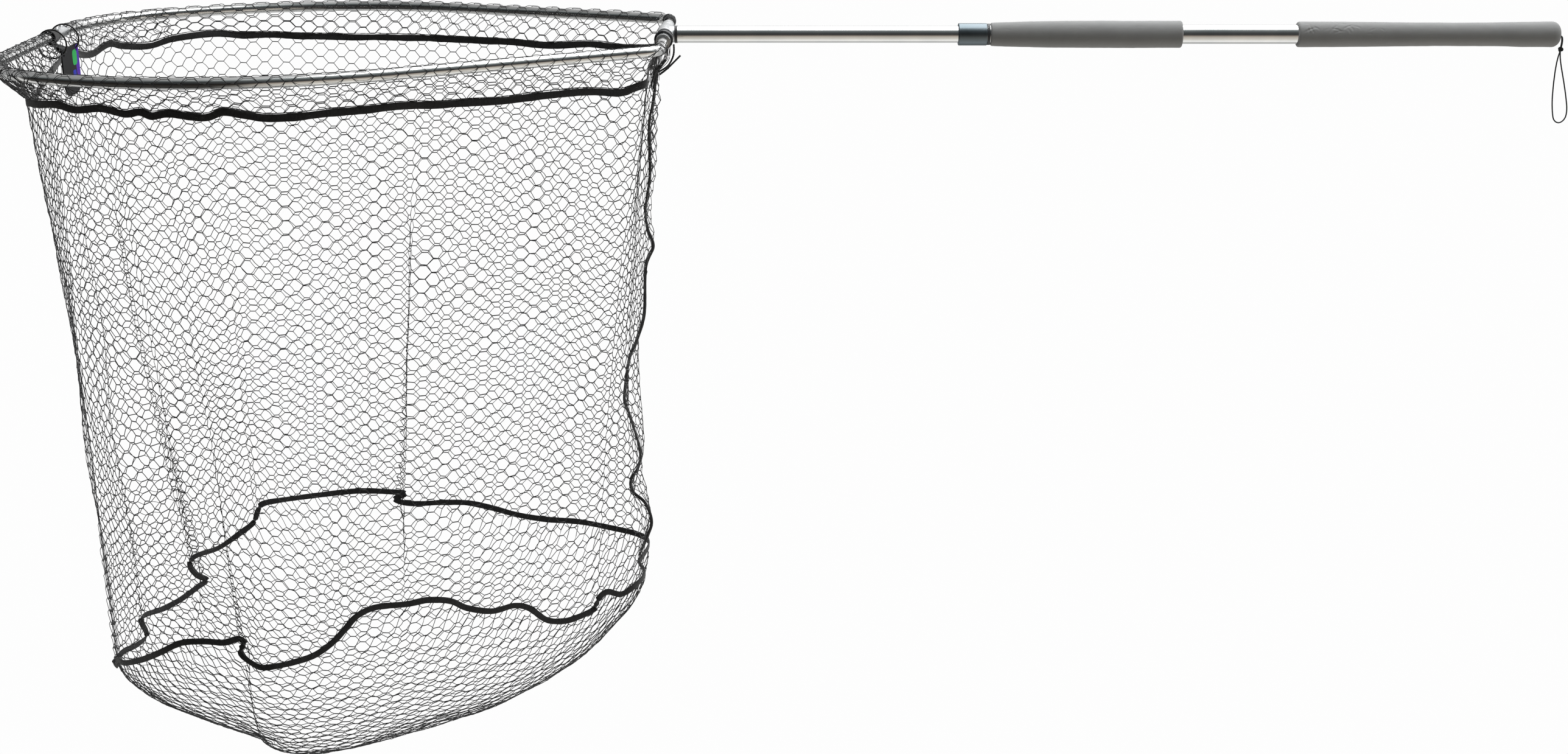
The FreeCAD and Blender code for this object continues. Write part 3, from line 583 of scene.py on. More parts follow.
def wall_at(s, m):
    """The wall at distance s round the hoop and m below the top tape.

    The blend is top (1 - t) + base t, with t = m / height. Added to it are the yoke end's line, which
    fades away from the seam, waves that grow to the middle of the wall, and the pleats.
    """
    s = s + 2.2 * MM * soft_noise(s, m, 0.10, 21) + 3.5 * MM * soft_noise(s, m, 0.31, 22)
    t = np.clip(m / wall_height(s), 0, 1)
    for fold_s, width, depth, start in PLEATS:
        x = (s - fold_s) / width
        strength = smooth_step((t - start) / 0.12) * (1 - 0.8 * smooth_step((t - 0.75) / 0.25))
        s = s - depth * width * strength * x * np.exp(-x * x / 2)
    top, base = top_line(s), base_at(s)
    blend = t + 0.035 * np.sin(math.pi * t) * soft_noise(s, m, 0.5, 23)
    places = top + (base - top) * blend[..., None]
    # the yoke end follows its seam
    from_seam = np.abs(np.mod(s, 2 * HALF) - HALF)
    straight = YOKE_X - places[..., 0]
    seam_u = np.interp(places[..., 2], SEAM_LINE[:, 1], SEAM_LINE[:, 0])
    mid = np.sin(math.pi * t)
    at_seam = np.exp(-(from_seam / SEAM_REACH) ** 2)
    drawn = (seam_u - straight) * at_seam
    drawn = drawn + DRAWN * mid * np.exp(-(from_seam / DRAWN_REACH) ** 2) * (1 - at_seam)
    places[..., 0] -= drawn
    # beside the seam it is fuller, from just below the tape down to about the middle
    beside = np.exp(-((from_seam - BESIDE) / BESIDE_REACH) ** 2)
    z = places[..., 2]
    places[..., 0] += BULGE * beside * smooth_step((-z - 0.05) / 0.05) * np.exp(-(z / 0.42) ** 2)
    # waves, outwards and inwards
    _, _, nu, ny = hoop_at(s)
    wave = mid * (6.0 * MM * soft_noise(s, 0.25 * m, 0.24, 24) + 3.5 * MM * soft_noise(s, 0.4 * m, 0.11, 25))
    wave = wave + 0.7 * MM * soft_noise(s, m, 0.03, 26)
    places[..., 0] -= nu * wave
    places[..., 1] += ny * wave
    return places


def trimmed(ends, limit):
    """Strands that start above limit(first length), cut where their second length passes it."""
    bottom = np.maximum(ends[:, 0, 1], ends[:, 1, 1])
    top = np.minimum(ends[:, 0, 1], ends[:, 1, 1])
    edge = limit(ends.mean(1)[:, 0])
    kept = ends[top < edge]
    edge = edge[top < edge]
    kept[..., 1] = np.minimum(kept[..., 1], edge[:, None])
    tall, wide = np.ptp(kept[..., 1], axis=1), np.ptp(kept[..., 0], axis=1)
    return kept[tall + wide > SHORTEST]


columns = 2 * round(HALF / COLUMN)                       # an even number closes the lattice round the ring
stretch = 2 * HALF / (columns * COLUMN)
doubled, slanting = lattice(columns, 0, 50)
for ends in (doubled, slanting):
    ends[..., 0] *= stretch
    ends[..., 1] = np.maximum(ends[..., 1], 0)
pieces = []
for name, first, last in (("net_wall_far", 0, HALF), ("net_wall_near", HALF, 2 * HALF)):
    runs = []
    kinds = ((doubled, THICK_R, 2, 0.0, 31), (slanting, THIN_R, 3, 0.35 * MM, 32))
    for ends, radius, rings, bow, seed in kinds:
        middle = ends.mean(1)[:, 0]
        mine = ends[(middle >= first) & (middle < last)]
        mine = trimmed(mine, wall_height)
        runs.append((laid(mine, wall_at, rings, bow, seed), radius))
    pieces.append(strands(name, runs))
for piece in pieces:
    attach(piece, "front_section")
    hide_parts("net_wall")
    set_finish(piece, "net_cord")

# %% [markdown]
# ## Base of the bag
# The base is one sheet of the same netting, cut to the shape that the base tape encloses and hung
# under it. Its keel runs from the front corner to the yoke end, and from the keel it rises to the tape
# on both sides in a curve that is steep at the tape and flat at the keel.

# %% The base as a function of two lengths
KEEL = spline([(813, -906), (779, -914), (703, -950), (613, -988), (534, -1008), (441, -1006), (348, -990),
               (243, -956), (138, -898), (68, -822), (36, -757)]) * MM
keel_reached = np.concatenate([[0.0], np.cumsum(np.linalg.norm(np.diff(KEEL, axis=0), axis=1))])
KEEL_LENGTH = keel_reached[-1]
# Pleats of the base: distance in front of the tee, side, and half width.
BASE_PLEATS = ((0.425, 1, 0.020), (0.725, 1, 0.020), (0.556, -1, 0.018))
print("keel", round(KEEL_LENGTH * 1000), "mm")


def tape_over(u, side):
    """Place (u, y, z) on one half of the base tape at the same distance from the tee, folds smoothed."""
    line = far_line if side > 0 else near_line
    forward = np.minimum.accumulate(line[:, 0])
    rising = forward[::-1] + 1e-7 * np.arange(len(line))     # np.interp needs places that only grow
    return [np.interp(u, rising, line[::-1, k]) for k in (1, 2)]


def base_width(p):
    """Length of netting from the keel to the tape, near side and far side, at p along the keel."""
    u, z = (np.interp(p, keel_reached, KEEL[:, k]) for k in (0, 1))
    widths = []
    for side in (-1, 1):
        y, tape_z = tape_over(u, side)
        across, drop = np.abs(y), np.maximum(tape_z - z, 0)
        widths.append(0.62 * (across + drop) + 0.38 * np.hypot(across, drop))
    return widths


def base_place(p, q):
    """The base sheet at p along the keel and q across it, minus on the near side.

    With b = 1 - |q| / width, the height falls from the tape by drop sin(90 b)^0.72 and the distance
    from the keel is across cos(90 b).
    """
    p = p + 2.0 * MM * soft_noise(p, q, 0.11, 41)
    u, z = (np.interp(p, keel_reached, KEEL[:, k]) for k in (0, 1))
    near_width, far_width = base_width(p)
    width = np.where(q < 0, near_width, far_width)
    b = 1 - np.clip(np.abs(q) / np.maximum(width, 1e-6), 0, 1)
    y, tape_z = (np.where(q < 0, n, f) for n, f in zip(tape_over(u, -1), tape_over(u, 1)))
    down = np.sin(math.pi / 2 * b) ** 0.72
    wave = 6 * MM * soft_noise(p, 0.4 * q, 0.16, 42) + 3 * MM * soft_noise(p, q, 0.08, 43)
    wave = np.sin(math.pi * b) * wave
    for fold_u, side, width_u in BASE_PLEATS:
        x = (u - fold_u) / width_u
        fade = np.exp(-np.abs(np.abs(q) - width) / 0.11) * (np.sign(q) == side)
        u = u - 1.45 * width_u * fade * x * np.exp(-x * x / 2)
    return np.stack([YOKE_X - u, y * np.cos(math.pi / 2 * b), tape_z + (z - tape_z) * down + wave], -1)


def cut_to_base(ends):
    """Strands of the flat sheet that lie inside the tape, cut at it."""
    near_width, far_width = base_width(ends.mean(1)[:, 0])
    inside = (ends[..., 1].min(1) < far_width) & (ends[..., 1].max(1) > -near_width)
    kept = ends[inside]
    kept[..., 1] = np.clip(kept[..., 1], -near_width[inside][:, None], far_width[inside][:, None])
    kept[..., 0] = np.clip(kept[..., 0], 0, KEEL_LENGTH)
    return kept[np.linalg.norm(kept[:, 0] - kept[:, 1], axis=1) > SHORTEST]


doubled, slanting = lattice(round(KEEL_LENGTH / COLUMN), -32, 32)
kinds = ((doubled, THICK_R, 2, 0.0, 51), (slanting, THIN_R, 3, 0.4 * MM, 52))
runs = [(laid(cut_to_base(ends), base_place, rings, bow, seed), radius)
        for ends, radius, rings, bow, seed in kinds]
net_base = strands("net_base_sheet", runs)
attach(net_base, "front_section")
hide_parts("net_base")
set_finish(net_base, "net_cord")

# %% [markdown]
# ## Collar of the net
# The same netting comes up from the top tape, passes over the hoop's tube and goes back down to the
# tape, so the hoop lies in a sleeve of mesh. Its section is a slack loop round the tube: up the
# outside, over the top and down the inside. Near the tee it stops, and on the front bar it leaves a
# gap for the joint and the ties of the tag.

# %% The collar as a function of two lengths
COLLAR_LENGTH = 6 * ROW


def collar_at(s, m):
    """The collar at s round the hoop and m along its section, which runs from tape to tape over the tube.

    The section is a smooth curve through places given as distance outside the hoop's centre line and
    height above it.
    """
    s = s + 2.5 * MM * soft_noise(s, m, 0.07, 61)
    section = spline([(-15.6, -36.5), (-5.5, -22), (5.5, -9.5), (8.3, 0.5), (5.0, 7.0), (-1.0, 8.4),
                      (-6.4, 5.6), (-8.6, -1.5), (-11.5, -17), (-17.6, -36.5)]) * MM
    reached = np.concatenate([[0.0], np.cumsum(np.linalg.norm(np.diff(section, axis=0), axis=1))])
    share = np.clip(m / COLLAR_LENGTH, 0, 1) * reached[-1]
    out, up = (np.interp(share, reached, section[:, k]) for k in (0, 1))
    on_tube = np.exp(-((up - 4 * MM) / (12 * MM)) ** 2)
    slack = (1 - on_tube) * 2.5 * MM * soft_noise(s, m, 0.06, 62)
    slack = slack + on_tube * 0.5 * MM * soft_noise(s, m, 0.03, 63)
    tape_wave = top_line(s)[..., 2] - head_place(hoop_at(s)[0], 0 * s, TAPE_Z)[..., 2]
    below = np.clip(-up / (36 * MM), 0, 1)
    up = up + below * tape_wave
    u, y, nu, ny = hoop_at(s)
    out = out + slack - below * corner_draw(s)
    return head_place(u + out * nu, y + out * ny, up)


TEE_STOP = 150 * MM                        # the collar ends this far round from the middle of the tee
GAP = (84 * MM, 122 * MM)                  # bare part of the front bar, on the far side


def collar_strand(ends):
    """Strands of the collar that lie clear of the tee and of the gap on the front bar."""
    s = np.mod(ends.mean(1)[:, 0], 2 * HALF)
    clear = np.abs(s - HALF) > TEE_STOP
    return ends[clear & ((s < GAP[0]) | (s > GAP[1]))]


doubled, slanting = lattice(columns, 0, 7)
runs = []
kinds = ((doubled, THICK_R, 2, 0.0, 71), (slanting, THIN_R, 4, 0.3 * MM, 72))
for ends, radius, rings, bow, seed in kinds:
    ends[..., 0] *= stretch
    ends[..., 1] = np.clip(ends[..., 1], 0, COLLAR_LENGTH)
    ends = ends[np.linalg.norm(ends[:, 0] - ends[:, 1], axis=1) > SHORTEST]
    runs.append((laid(collar_strand(ends), collar_at, rings, bow, seed), radius))
net_collar = strands("net_collar_mesh", runs)

# Round the front corners the netting is longer than the hoop, so a second, shifted layer lies there.
FRONT_REACH = 330 * MM
doubled, slanting = lattice(columns, 0, 7, offset=0.5)
runs = []
kinds = ((doubled, THICK_R, 2, 0.9 * MM, 73), (slanting, THIN_R, 4, 1.1 * MM, 74))
for ends, radius, rings, bow, seed in kinds:
    ends[..., 0] = ends[..., 0] * stretch + 0.25 * (ends[..., 1] - 3 * ROW)
    ends[..., 1] = np.clip(ends[..., 1], 0, COLLAR_LENGTH)
    ends = ends[np.linalg.norm(ends[:, 0] - ends[:, 1], axis=1) > SHORTEST]
    from_front = np.mod(ends.mean(1)[:, 0] + HALF, 2 * HALF) - HALF
    ends = collar_strand(ends[np.abs(from_front) < FRONT_REACH])
    runs.append((laid(ends, collar_at, rings, bow, seed), radius))
front_layer = strands("net_collar_front_layer", runs)
for piece in (net_collar, front_layer):
    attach(piece, "front_section")
    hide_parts("net_collar")
    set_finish(piece, "net_cord")

# %% [markdown]
# ## Tapes
# The binding tapes are woven strips folded over the edge of the netting. A strip is a flat rounded
# profile carried along its line. The profile stands upright and turns a little from place to place, and
# its edge is uneven, because the yarns of the net bunch up under it.

# %% Tapes
TAPE_STEP, TAPE_POINTS = 1.5 * MM, 14       # along the tape, and round its profile


def tape_profile(height, thick):
    """A flat ring with round ends: (across, up) with up = h cos a and across = t sin a, squared off."""
    a = np.linspace(0, 2 * math.pi, TAPE_POINTS, endpoint=False)
    up = height / 2 * np.sign(np.cos(a)) * np.abs(np.cos(a)) ** 0.55
    return thick / 2 * np.sign(np.sin(a)) * np.abs(np.sin(a)) ** 0.75, up


def tape(name, line, height, thick, closed, lean, seed):
    """A tape along a line. lean turns its profile about the line, in radians, smoothly and at random."""
    length = np.linalg.norm(np.diff(line, axis=0), axis=1).sum()
    line = along(line, count=int(length / TAPE_STEP))
    line = line[:-1] if closed else line
    run = np.arange(len(line)) * TAPE_STEP
    tangent = unit(np.roll(line, -1, 0) - np.roll(line, 1, 0) if closed else np.gradient(line, axis=0))
    upright = np.array([0.0, 0.0, 1.0]) - tangent * tangent[:, 2:]
    steep = np.abs(tangent[:, 2:]) > 0.8
    upright = unit(np.where(steep, np.array([0.6, 0.5, 0.3]), upright))
    smooth = np.ones(9) / 9
    ends = "wrap" if closed else "edge"
    upright = unit(np.stack([np.convolve(np.pad(upright[:, k], 4, mode=ends), smooth, "valid")
                             for k in range(3)], 1))
    across = unit(np.cross(tangent, upright))
    upright = np.cross(across, tangent)
    turn = lean * soft_noise(run, 0 * run, 0.12, seed)[:, None, None]
    side, up = (v[None, :, None] for v in tape_profile(height, thick))
    wide = 1 + 0.07 * soft_noise(run, 0 * run, 0.05, seed + 1)
    wide = wide + 0.035 * soft_noise(run, 0 * run, 0.009, seed + 2)
    up = up * wide[:, None, None]
    rough = 0.16 * MM * soft_noise(run[:, None], np.arange(TAPE_POINTS)[None, :] * 0.011, 0.012, seed + 3)
    side = side + rough[..., None]
    side, up = side * np.cos(turn) - up * np.sin(turn), side * np.sin(turn) + up * np.cos(turn)
    grid = line[:, None] + across[:, None] * side + upright[:, None] * up
    print(name, "length", round(length * 1000), "mm")
    return surface(name, grid, (length, 2 * height), (closed, True), caps=not closed)


ring_s = np.linspace(0, 2 * HALF, 3001)
top_tape = tape("top_binding_tape", top_line(ring_s), TAPE_HEIGHT, TAPE_THICK, True, 0.25, 81)
base_tape = tape("base_binding_tape", base_at(ring_s), 8.6 * MM, 2.4 * MM, True, 0.30, 84)
seam_z = np.linspace(-44 * MM, -738 * MM, 500)
seam_line = np.stack([YOKE_X - np.interp(seam_z, SEAM_LINE[:, 1], SEAM_LINE[:, 0]) + 1.5 * MM,
                      -0.012 + 6 * MM * soft_noise(seam_z, 0 * seam_z, 0.2, 90), seam_z], 1)
seam_tape = tape("yoke_seam_tape", seam_line, 4.2 * MM, 2.2 * MM, False, 0.5, 87)
for piece, node in ((top_tape, "top_tape"), (base_tape, "base_tape"), (seam_tape, "seam_tape")):
    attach(piece, "front_section")
    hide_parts(node)
    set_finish(piece, "binding_tape")

# %% [markdown]
# ## Gathered netting at the tee
# Where the two rails meet, the net is pulled together and lashed, so its yarns run in a dark bundle
# from the rail's elbow down to the top of the seam. A bundle is modelled as what it is: a dozen or so
# yarns that start and end a few millimetres apart and sag by different amounts. Other yarns are turned
# round the two elbows, and a loose thread stands off.

# %% Gathered yarns
def bundle(name, route, count, spread, radius, seed, rings=26):
    """Yarns that follow a route (n, 3), each offset by a smooth random amount that swells mid-way.

    Offset of a yarn = spread times (normal noise at its ends, blended along it) plus a sine sag.
    """
    draw = np.random.default_rng(seed)
    middle = along(spline(route, 12), count=rings)
    share = np.linspace(0, 1, rings)[None, :, None]
    first, last, swell = (draw.normal(0, spread, (count, 1, 3)) for _ in range(3))
    ripple = draw.normal(0, spread * 0.35, (count, 1, 3))
    ripple = ripple * np.sin(2 * math.pi * share * draw.uniform(1, 2.2, (count, 1, 1)))
    sag = swell * np.sin(math.pi * share) * 0.8
    points = middle[None] + first * (1 - share) + last * share + sag + ripple
    return strands(name, [(points, radius)])


def tee_side(*places):
    """Places near the tee, given in millimetres as distance in front of it, side and height."""
    places = np.array(places, float) * MM
    return head_place(places[:, 0], places[:, 1], places[:, 2])


near_bundle = bundle("net_gather_near", tee_side((6, -96, -9), (10, -92, -20), (14, -62, -33), (15, -30, -44),
                                                 (16, -18, -60)), 12, 2.0 * MM, 0.42 * MM, 101)
down_bundle = bundle("net_gather_yoke", tee_side((-5, -54, -9), (-3, -52, -24), (6, -44, -36), (14, -28, -46),
                                                 (16, -18, -58), (18, -14, -70)), 10, 1.4 * MM, 0.5 * MM, 102)
far_bundle = bundle("net_gather_far", tee_side((4, 92, -8), (9, 80, -22), (13, 50, -34), (15, 18, -44),
                                               (18, 2, -60)), 14, 3.0 * MM, 0.5 * MM, 103)
loose_thread = bundle("net_loose_thread", tee_side((12, -24, -47), (6, -30, -46), (0, -34, -42),
                                                   (-4, -38, -40)), 2, 0.5 * MM, 0.22 * MM, 104)
elbow_turns = []
for side, at, turns, thread, seed in ((-1, 126, 6, 0.45 * MM, 105), (1, 118, 14, 0.6 * MM, 106)):
    draw = np.random.default_rng(seed)
    turn_angle = np.linspace(0, 2 * math.pi, 28)
    loops = []
    turn_places = np.linspace(-16, 24, turns) + draw.normal(0, 2, turns)
    for place, lean in zip(turn_places, draw.normal(0, 6, turns)):
        s_turn = HALF - side * (at + place) * MM + lean * MM * np.sin(turn_angle)
        u, y, nu, ny = hoop_at(s_turn)
        reach = HOOP_TUBE_R + 0.75 * MM + 0.3 * MM * np.sin(3 * turn_angle + lean)
        out = reach * np.cos(turn_angle)
        loops.append(head_place(u + nu * out, y + ny * out, reach * np.sin(turn_angle)))
    name = "net_turns_near" if side < 0 else "net_turns_far"
    elbow_turns.append(strands(name, [(np.array(loops), thread)]))
for piece in [near_bundle, down_bundle, far_bundle, loose_thread] + elbow_turns:
    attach(piece, "front_section")
    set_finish(piece, "net_cord")

# %% [markdown]
# ## Foam grips
# Both grips are tubes of closed-cell foam, stretched over the handle. They swell and narrow by a
# millimetre or two, their rims are rounded, and the rear one ends in a dome with a hole for the cord.
# Foam that has been squeezed keeps a few star-shaped creases. A grip is a profile turned about the
# handle, and its radius is then lowered along each crease, so the creases are real dents.

# %% Grips
CREASE_DEPTH, CREASE_WIDTH = 0.55 * MM, 1.1 * MM
FOAM_R = 17 * MM                            # usual radius of the foam, for lengths round the grip
GRIP_SIDES, BORE_RINGS = 160, 12


def crease_depth(x, angle, radius, creases):
    """How far the surface is pressed in: each crease is a bent line with a Gaussian section.

    A crease is (x, angle, direction, length, depth share) and dies away towards both its ends.
    """
    pressed = np.zeros(np.broadcast(x, angle).shape)
    for at, around, direction, length, share in creases:
        forward, sideways = x - at, (angle - around) * radius
        run = forward * math.cos(direction) + sideways * math.sin(direction)
        off = -forward * math.sin(direction) + sideways * math.cos(direction) + 0.12 * run * run / length
        ends = np.exp(-(run / length) ** 4)
        lips = np.exp(-((np.abs(off) - 2 * CREASE_WIDTH) / CREASE_WIDTH) ** 2)
        valley = np.exp(-(off / CREASE_WIDTH) ** 2) - 0.35 * lips
        pressed += share * CREASE_DEPTH * ends * valley
    return pressed


def grip(name, outline, bore, x_inner, creases, seed):
    """A grip turned about the X axis: outline is (x, radius) from rim to rim, closed by its bore.

    Radius = outline radius - creases + soft swell. The angle 0 looks towards the eye (-Y), and 90 up.
    """
    rings = int(np.ptp(outline[:, 0]) / MM)
    outline = along(np.column_stack([outline, np.zeros(len(outline))]), count=rings)[:, :2]
    inner_x = np.linspace(x_inner[1], x_inner[0], BORE_RINGS)
    x = np.concatenate([outline[:, 0], inner_x])[:, None]
    radius = np.concatenate([outline[:, 1], np.full(BORE_RINGS, bore)])[:, None]
    is_outer = np.concatenate([np.ones(len(outline)), np.zeros(BORE_RINGS)])[:, None]
    angle = np.linspace(-math.pi, math.pi, GRIP_SIDES, endpoint=False)[None, :]
    bearing = radius > 1.12 * bore          # not the bore, nor the end faces next to it
    swell = 0.16 * MM * soft_noise(x, FOAM_R * np.sin(angle), 0.045, seed)
    swell = swell + 0.07 * MM * soft_noise(x, FOAM_R * angle, 0.012, seed + 1)
    real = radius + is_outer * bearing * (swell - crease_depth(x, angle, FOAM_R, creases))
    grid = np.stack([x + 0 * angle, -real * np.cos(angle), real * np.sin(angle)], -1)
    print(name, "from", round(float(x.min()) * 1000), "to", round(float(x.max()) * 1000), "mm")
    return surface(name, grid, (np.ptp(x), 0.107), (True, True))


def rim(x, radius, corner, side):
    """Quarter circle (x, radius) at a rim: end face to outside on side +1, outside to end face on -1."""
    a = np.linspace(0, math.pi / 2, 8)
    places = np.column_stack([x + side * corner * (1 - np.sin(a)), radius - corner * (1 - np.cos(a))])
    return places[::-1] if side > 0 else places


RIM_R, BORE = 2.4 * MM, 12.6 * MM
FORE_X, HALF_BARE, DOME_R, HOLE_R = -332 * MM, 77 * MM, 11 * MM, 2.9 * MM
fore = spline(np.array([(-326, 15.6), (-297, 16.5), (-247, 17.6), (-182, 17.9), (-130, 17.85), (-84, 17.9)])
              * MM, 12)
fore_outline = np.concatenate([[(FORE_X, BORE)], rim(FORE_X, 15.4 * MM, RIM_R, 1), fore,
                               rim(-HALF_BARE, 17.9 * MM, RIM_R, -1), [(-HALF_BARE, BORE)]])
rear = spline(np.array([(84, 16.9), (152, 16.6), (222, 15.8), (287, 15.5), (342, 15.8), (382, 16.6),
                        (405, 16.95)])
              * MM, 12)
dome_a = np.linspace(0, math.pi / 2, 14)
dome = np.column_stack([BUTT_X - DOME_R * (1 - np.sin(dome_a)),
                        17.0 * MM - DOME_R * (1 - np.cos(dome_a))])
rear_outline = np.concatenate([[(HALF_BARE, BORE)], rim(HALF_BARE, 16.9 * MM, RIM_R, 1), rear, dome,
                               [(BUTT_X, HOLE_R + 0.8 * MM), (BUTT_X - 0.8 * MM, HOLE_R),
                                (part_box("butt_plug")[1].x, HOLE_R)]])
draw = np.random.default_rng(5)
star = [(x * MM, a, d, n * MM, s) for x, a, d, n, s in (
    (91, 0.55, 0.4, 7, 1.0), (93, 0.60, 1.9, 6, 0.9), (90, 0.5, 1.2, 5, 0.8), (99, 0.7, -0.5, 5, 0.6),
    (122, 0.62, 0.9, 7, 0.7), (126, 0.55, -0.3, 6, 0.6), (141, 0.8, 0.5, 7, 0.6), (146, 0.7, -0.9, 5, 0.5))]
scatter = list(zip(draw.uniform(0.084, 0.19, 22), draw.uniform(0.1, 1.5, 22), draw.uniform(-1.2, 1.2, 22),
                   draw.uniform(2.5, 6.0, 22) * MM, draw.uniform(0.12, 0.4, 22)))
fore_scatter = list(zip(draw.uniform(-0.31, -0.09, 14), draw.uniform(-0.5, 1.6, 14),
                        draw.uniform(-1.2, 1.2, 14), draw.uniform(3, 7, 14) * MM,
                        draw.uniform(0.05, 0.18, 14)))
fore_grip = grip("fore_grip_foam", fore_outline, BORE, (FORE_X, -HALF_BARE), fore_scatter, 111)
rear_grip = grip("rear_grip_foam", rear_outline, BORE, (HALF_BARE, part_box("butt_plug")[1].x),
                 star + scatter, 121)
for piece, node in ((fore_grip, "fore_grip"), (rear_grip, "rear_grip")):
    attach(piece, "handle")
    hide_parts(node)
    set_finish(piece, "grip_foam")

# %% [markdown]
# ## Shader groups
# Each finish is a short material that reads Object coordinates or the piece's own UV map in metres.
# Effects that several finishes share are node groups: yarn, weave, drawn metal and fine grit. A group
# gives only masks and heights, and the Principled shader stays in the material.

# %% Node helpers
def add(tree, kind, inputs=None, **settings):
    """A node with its settings, and each input either linked from a socket or set to a value."""
    made = tree.nodes.new(kind)
    for key, value in settings.items():
        setattr(made, key, value)
    for key, value in (inputs or {}).items():
        if isinstance(value, bpy.types.NodeSocket):
            tree.links.new(value, made.inputs[key])
        else:
            made.inputs[key].default_value = value
    return made


def calc(tree, operation, a, b=0.0, c=0.0):
    """The result of one Math node."""
    return add(tree, "ShaderNodeMath", {0: a, 1: b, 2: c}, operation=operation).outputs[0]


def noise(tree, vector, scale, detail=3.0, rough=0.55):
    """Value of a noise texture."""
    return add(tree, "ShaderNodeTexNoise", {"Vector": vector, "Scale": scale, "Detail": detail,
                                            "Roughness": rough}).outputs["Fac"]


def stretch_range(tree, value, low, high, to_low=0.0, to_high=1.0):
    """A value carried from one range to another and clamped."""
    return add(tree, "ShaderNodeMapRange", {"Value": value, "From Min": low, "From Max": high,
                                            "To Min": to_low, "To Max": to_high}).outputs["Result"]


def colour_ramp(tree, value, stops):
    """Colour along a ramp. stops is a list of (position, colour)."""
    ramp = add(tree, "ShaderNodeValToRGB", {"Fac": value})
    for k, (at, colour) in enumerate(stops):
        stop = ramp.color_ramp.elements[k] if k < 2 else ramp.color_ramp.elements.new(at)
        stop.position, stop.color = at, (*colour, 1)
    return ramp.outputs["Color"]


def place_axes(tree, kind):
    """X, Y and Z of the tree's own texture coordinates."""
    return add(tree, "ShaderNodeSeparateXYZ", {0: tree.nodes.new("ShaderNodeTexCoord").outputs[kind]}).outputs


def two_faced(tree, camera_sees, others_see, output):
    """Show one shader to the camera's own rays and another to all the rest."""
    seen = tree.nodes.new("ShaderNodeLightPath").outputs["Is Camera Ray"]
    both = add(tree, "ShaderNodeMixShader", {0: seen, 1: others_see.outputs[0], 2: camera_sees.outputs[0]})
    tree.links.new(both.outputs[0], tree.nodes[output].inputs["Surface"])


def new_group(name, inputs, outputs):
    """An empty node group with float or vector inputs and float outputs."""
    tree = bpy.data.node_groups.new(name, "ShaderNodeTree")
    for label, kind in inputs.items():
        tree.interface.new_socket(label, in_out="INPUT", socket_type="NodeSocket" + kind)
    for label in outputs:
        tree.interface.new_socket(label, in_out="OUTPUT", socket_type="NodeSocketFloat")
    return tree, tree.nodes.new("NodeGroupInput").outputs, tree.nodes.new("NodeGroupOutput").inputs


def use(tree, group, inputs):
    """A group placed in a material."""
    return add(tree, "ShaderNodeGroup", inputs, node_tree=group).outputs


# %% Shared effects
# Drawn metal: long fine lines along X from stretched noise, and soft smudges.
drawn_metal, given, gives = new_group("drawn_metal", {"Vector": "Vector", "Along": "Float"},
                                      ("Lines", "Smudge"))
scale = add(drawn_metal, "ShaderNodeCombineXYZ", {"X": given["Along"], "Y": 1.0, "Z": 1.0}).outputs[0]
squeezed = add(drawn_metal, "ShaderNodeVectorMath", {0: given["Vector"], 1: scale}, operation="MULTIPLY")
drawn_metal.links.new(noise(drawn_metal, squeezed.outputs[0], 2600.0, 2.0), gives["Lines"])
drawn_metal.links.new(stretch_range(drawn_metal, noise(drawn_metal, given["Vector"], 34.0, 4.0), 0.35, 0.7),
                      gives["Smudge"])

# Grit: pores or fine roughness of about 1 / Scale metres, with a slow patchiness.
grit, given, gives = new_group("grit", {"Vector": "Vector", "Scale": "Float"}, ("Pores", "Patches"))
cells = add(grit, "ShaderNodeTexVoronoi", {"Vector": given["Vector"], "Scale": given["Scale"]})
fine = noise(grit, given["Vector"], given["Scale"], 3.0)
pores = calc(grit, "MULTIPLY_ADD", cells.outputs["Distance"], 0.6, calc(grit, "MULTIPLY", fine, 0.6))
grit.links.new(pores, gives["Pores"])
grit.links.new(stretch_range(grit, noise(grit, given["Vector"], 22.0, 4.0), 0.3, 0.7), gives["Patches"])

# Yarn: fibres about a tenth of a millimetre thick, and stretches that have faded.
yarn, given, gives = new_group("yarn", {"Vector": "Vector"}, ("Fibres", "Faded"))
yarn.links.new(noise(yarn, given["Vector"], 5200.0, 2.0), gives["Fibres"])
yarn.links.new(stretch_range(yarn, noise(yarn, given["Vector"], 60.0, 5.0), 0.42, 0.72), gives["Faded"])

# Weave: ribs across the tape, crossed by warp threads, both in metres on the UV map.
weave, given, gives = new_group("weave", {"Vector": "Vector", "Rib": "Float"}, ("Threads", "Fuzz"))
axes = add(weave, "ShaderNodeSeparateXYZ", {0: given["Vector"]}).outputs
rib_turn = calc(weave, "DIVIDE", 2 * math.pi, given["Rib"])
rib = calc(weave, "SINE", calc(weave, "MULTIPLY", axes["X"], rib_turn))
warp = calc(weave, "SINE", calc(weave, "MULTIPLY", axes["Y"], calc(weave, "MULTIPLY", rib_turn, 1.3)))
crossing = calc(weave, "MULTIPLY", rib, warp)
fuzz = noise(weave, given["Vector"], 2400.0, 4.0, 0.7)
weave.links.new(calc(weave, "MULTIPLY_ADD", crossing, 0.5, fuzz), gives["Threads"])
weave.links.new(stretch_range(weave, noise(weave, given["Vector"], 420.0, 4.0), 0.35, 0.75), gives["Fuzz"])
print("groups:", [g.name for g in bpy.data.node_groups])

# %% [markdown]
# ## Finishes
# Every slot of the model gets one finish. The tubes are bright drawn alloy, which shows the room more
# than itself, so its colour is light and its gloss varies a little. The foam is matt grey with pores.
# The netting is dark polyester yarn that fades in patches and shines a little at the edges.


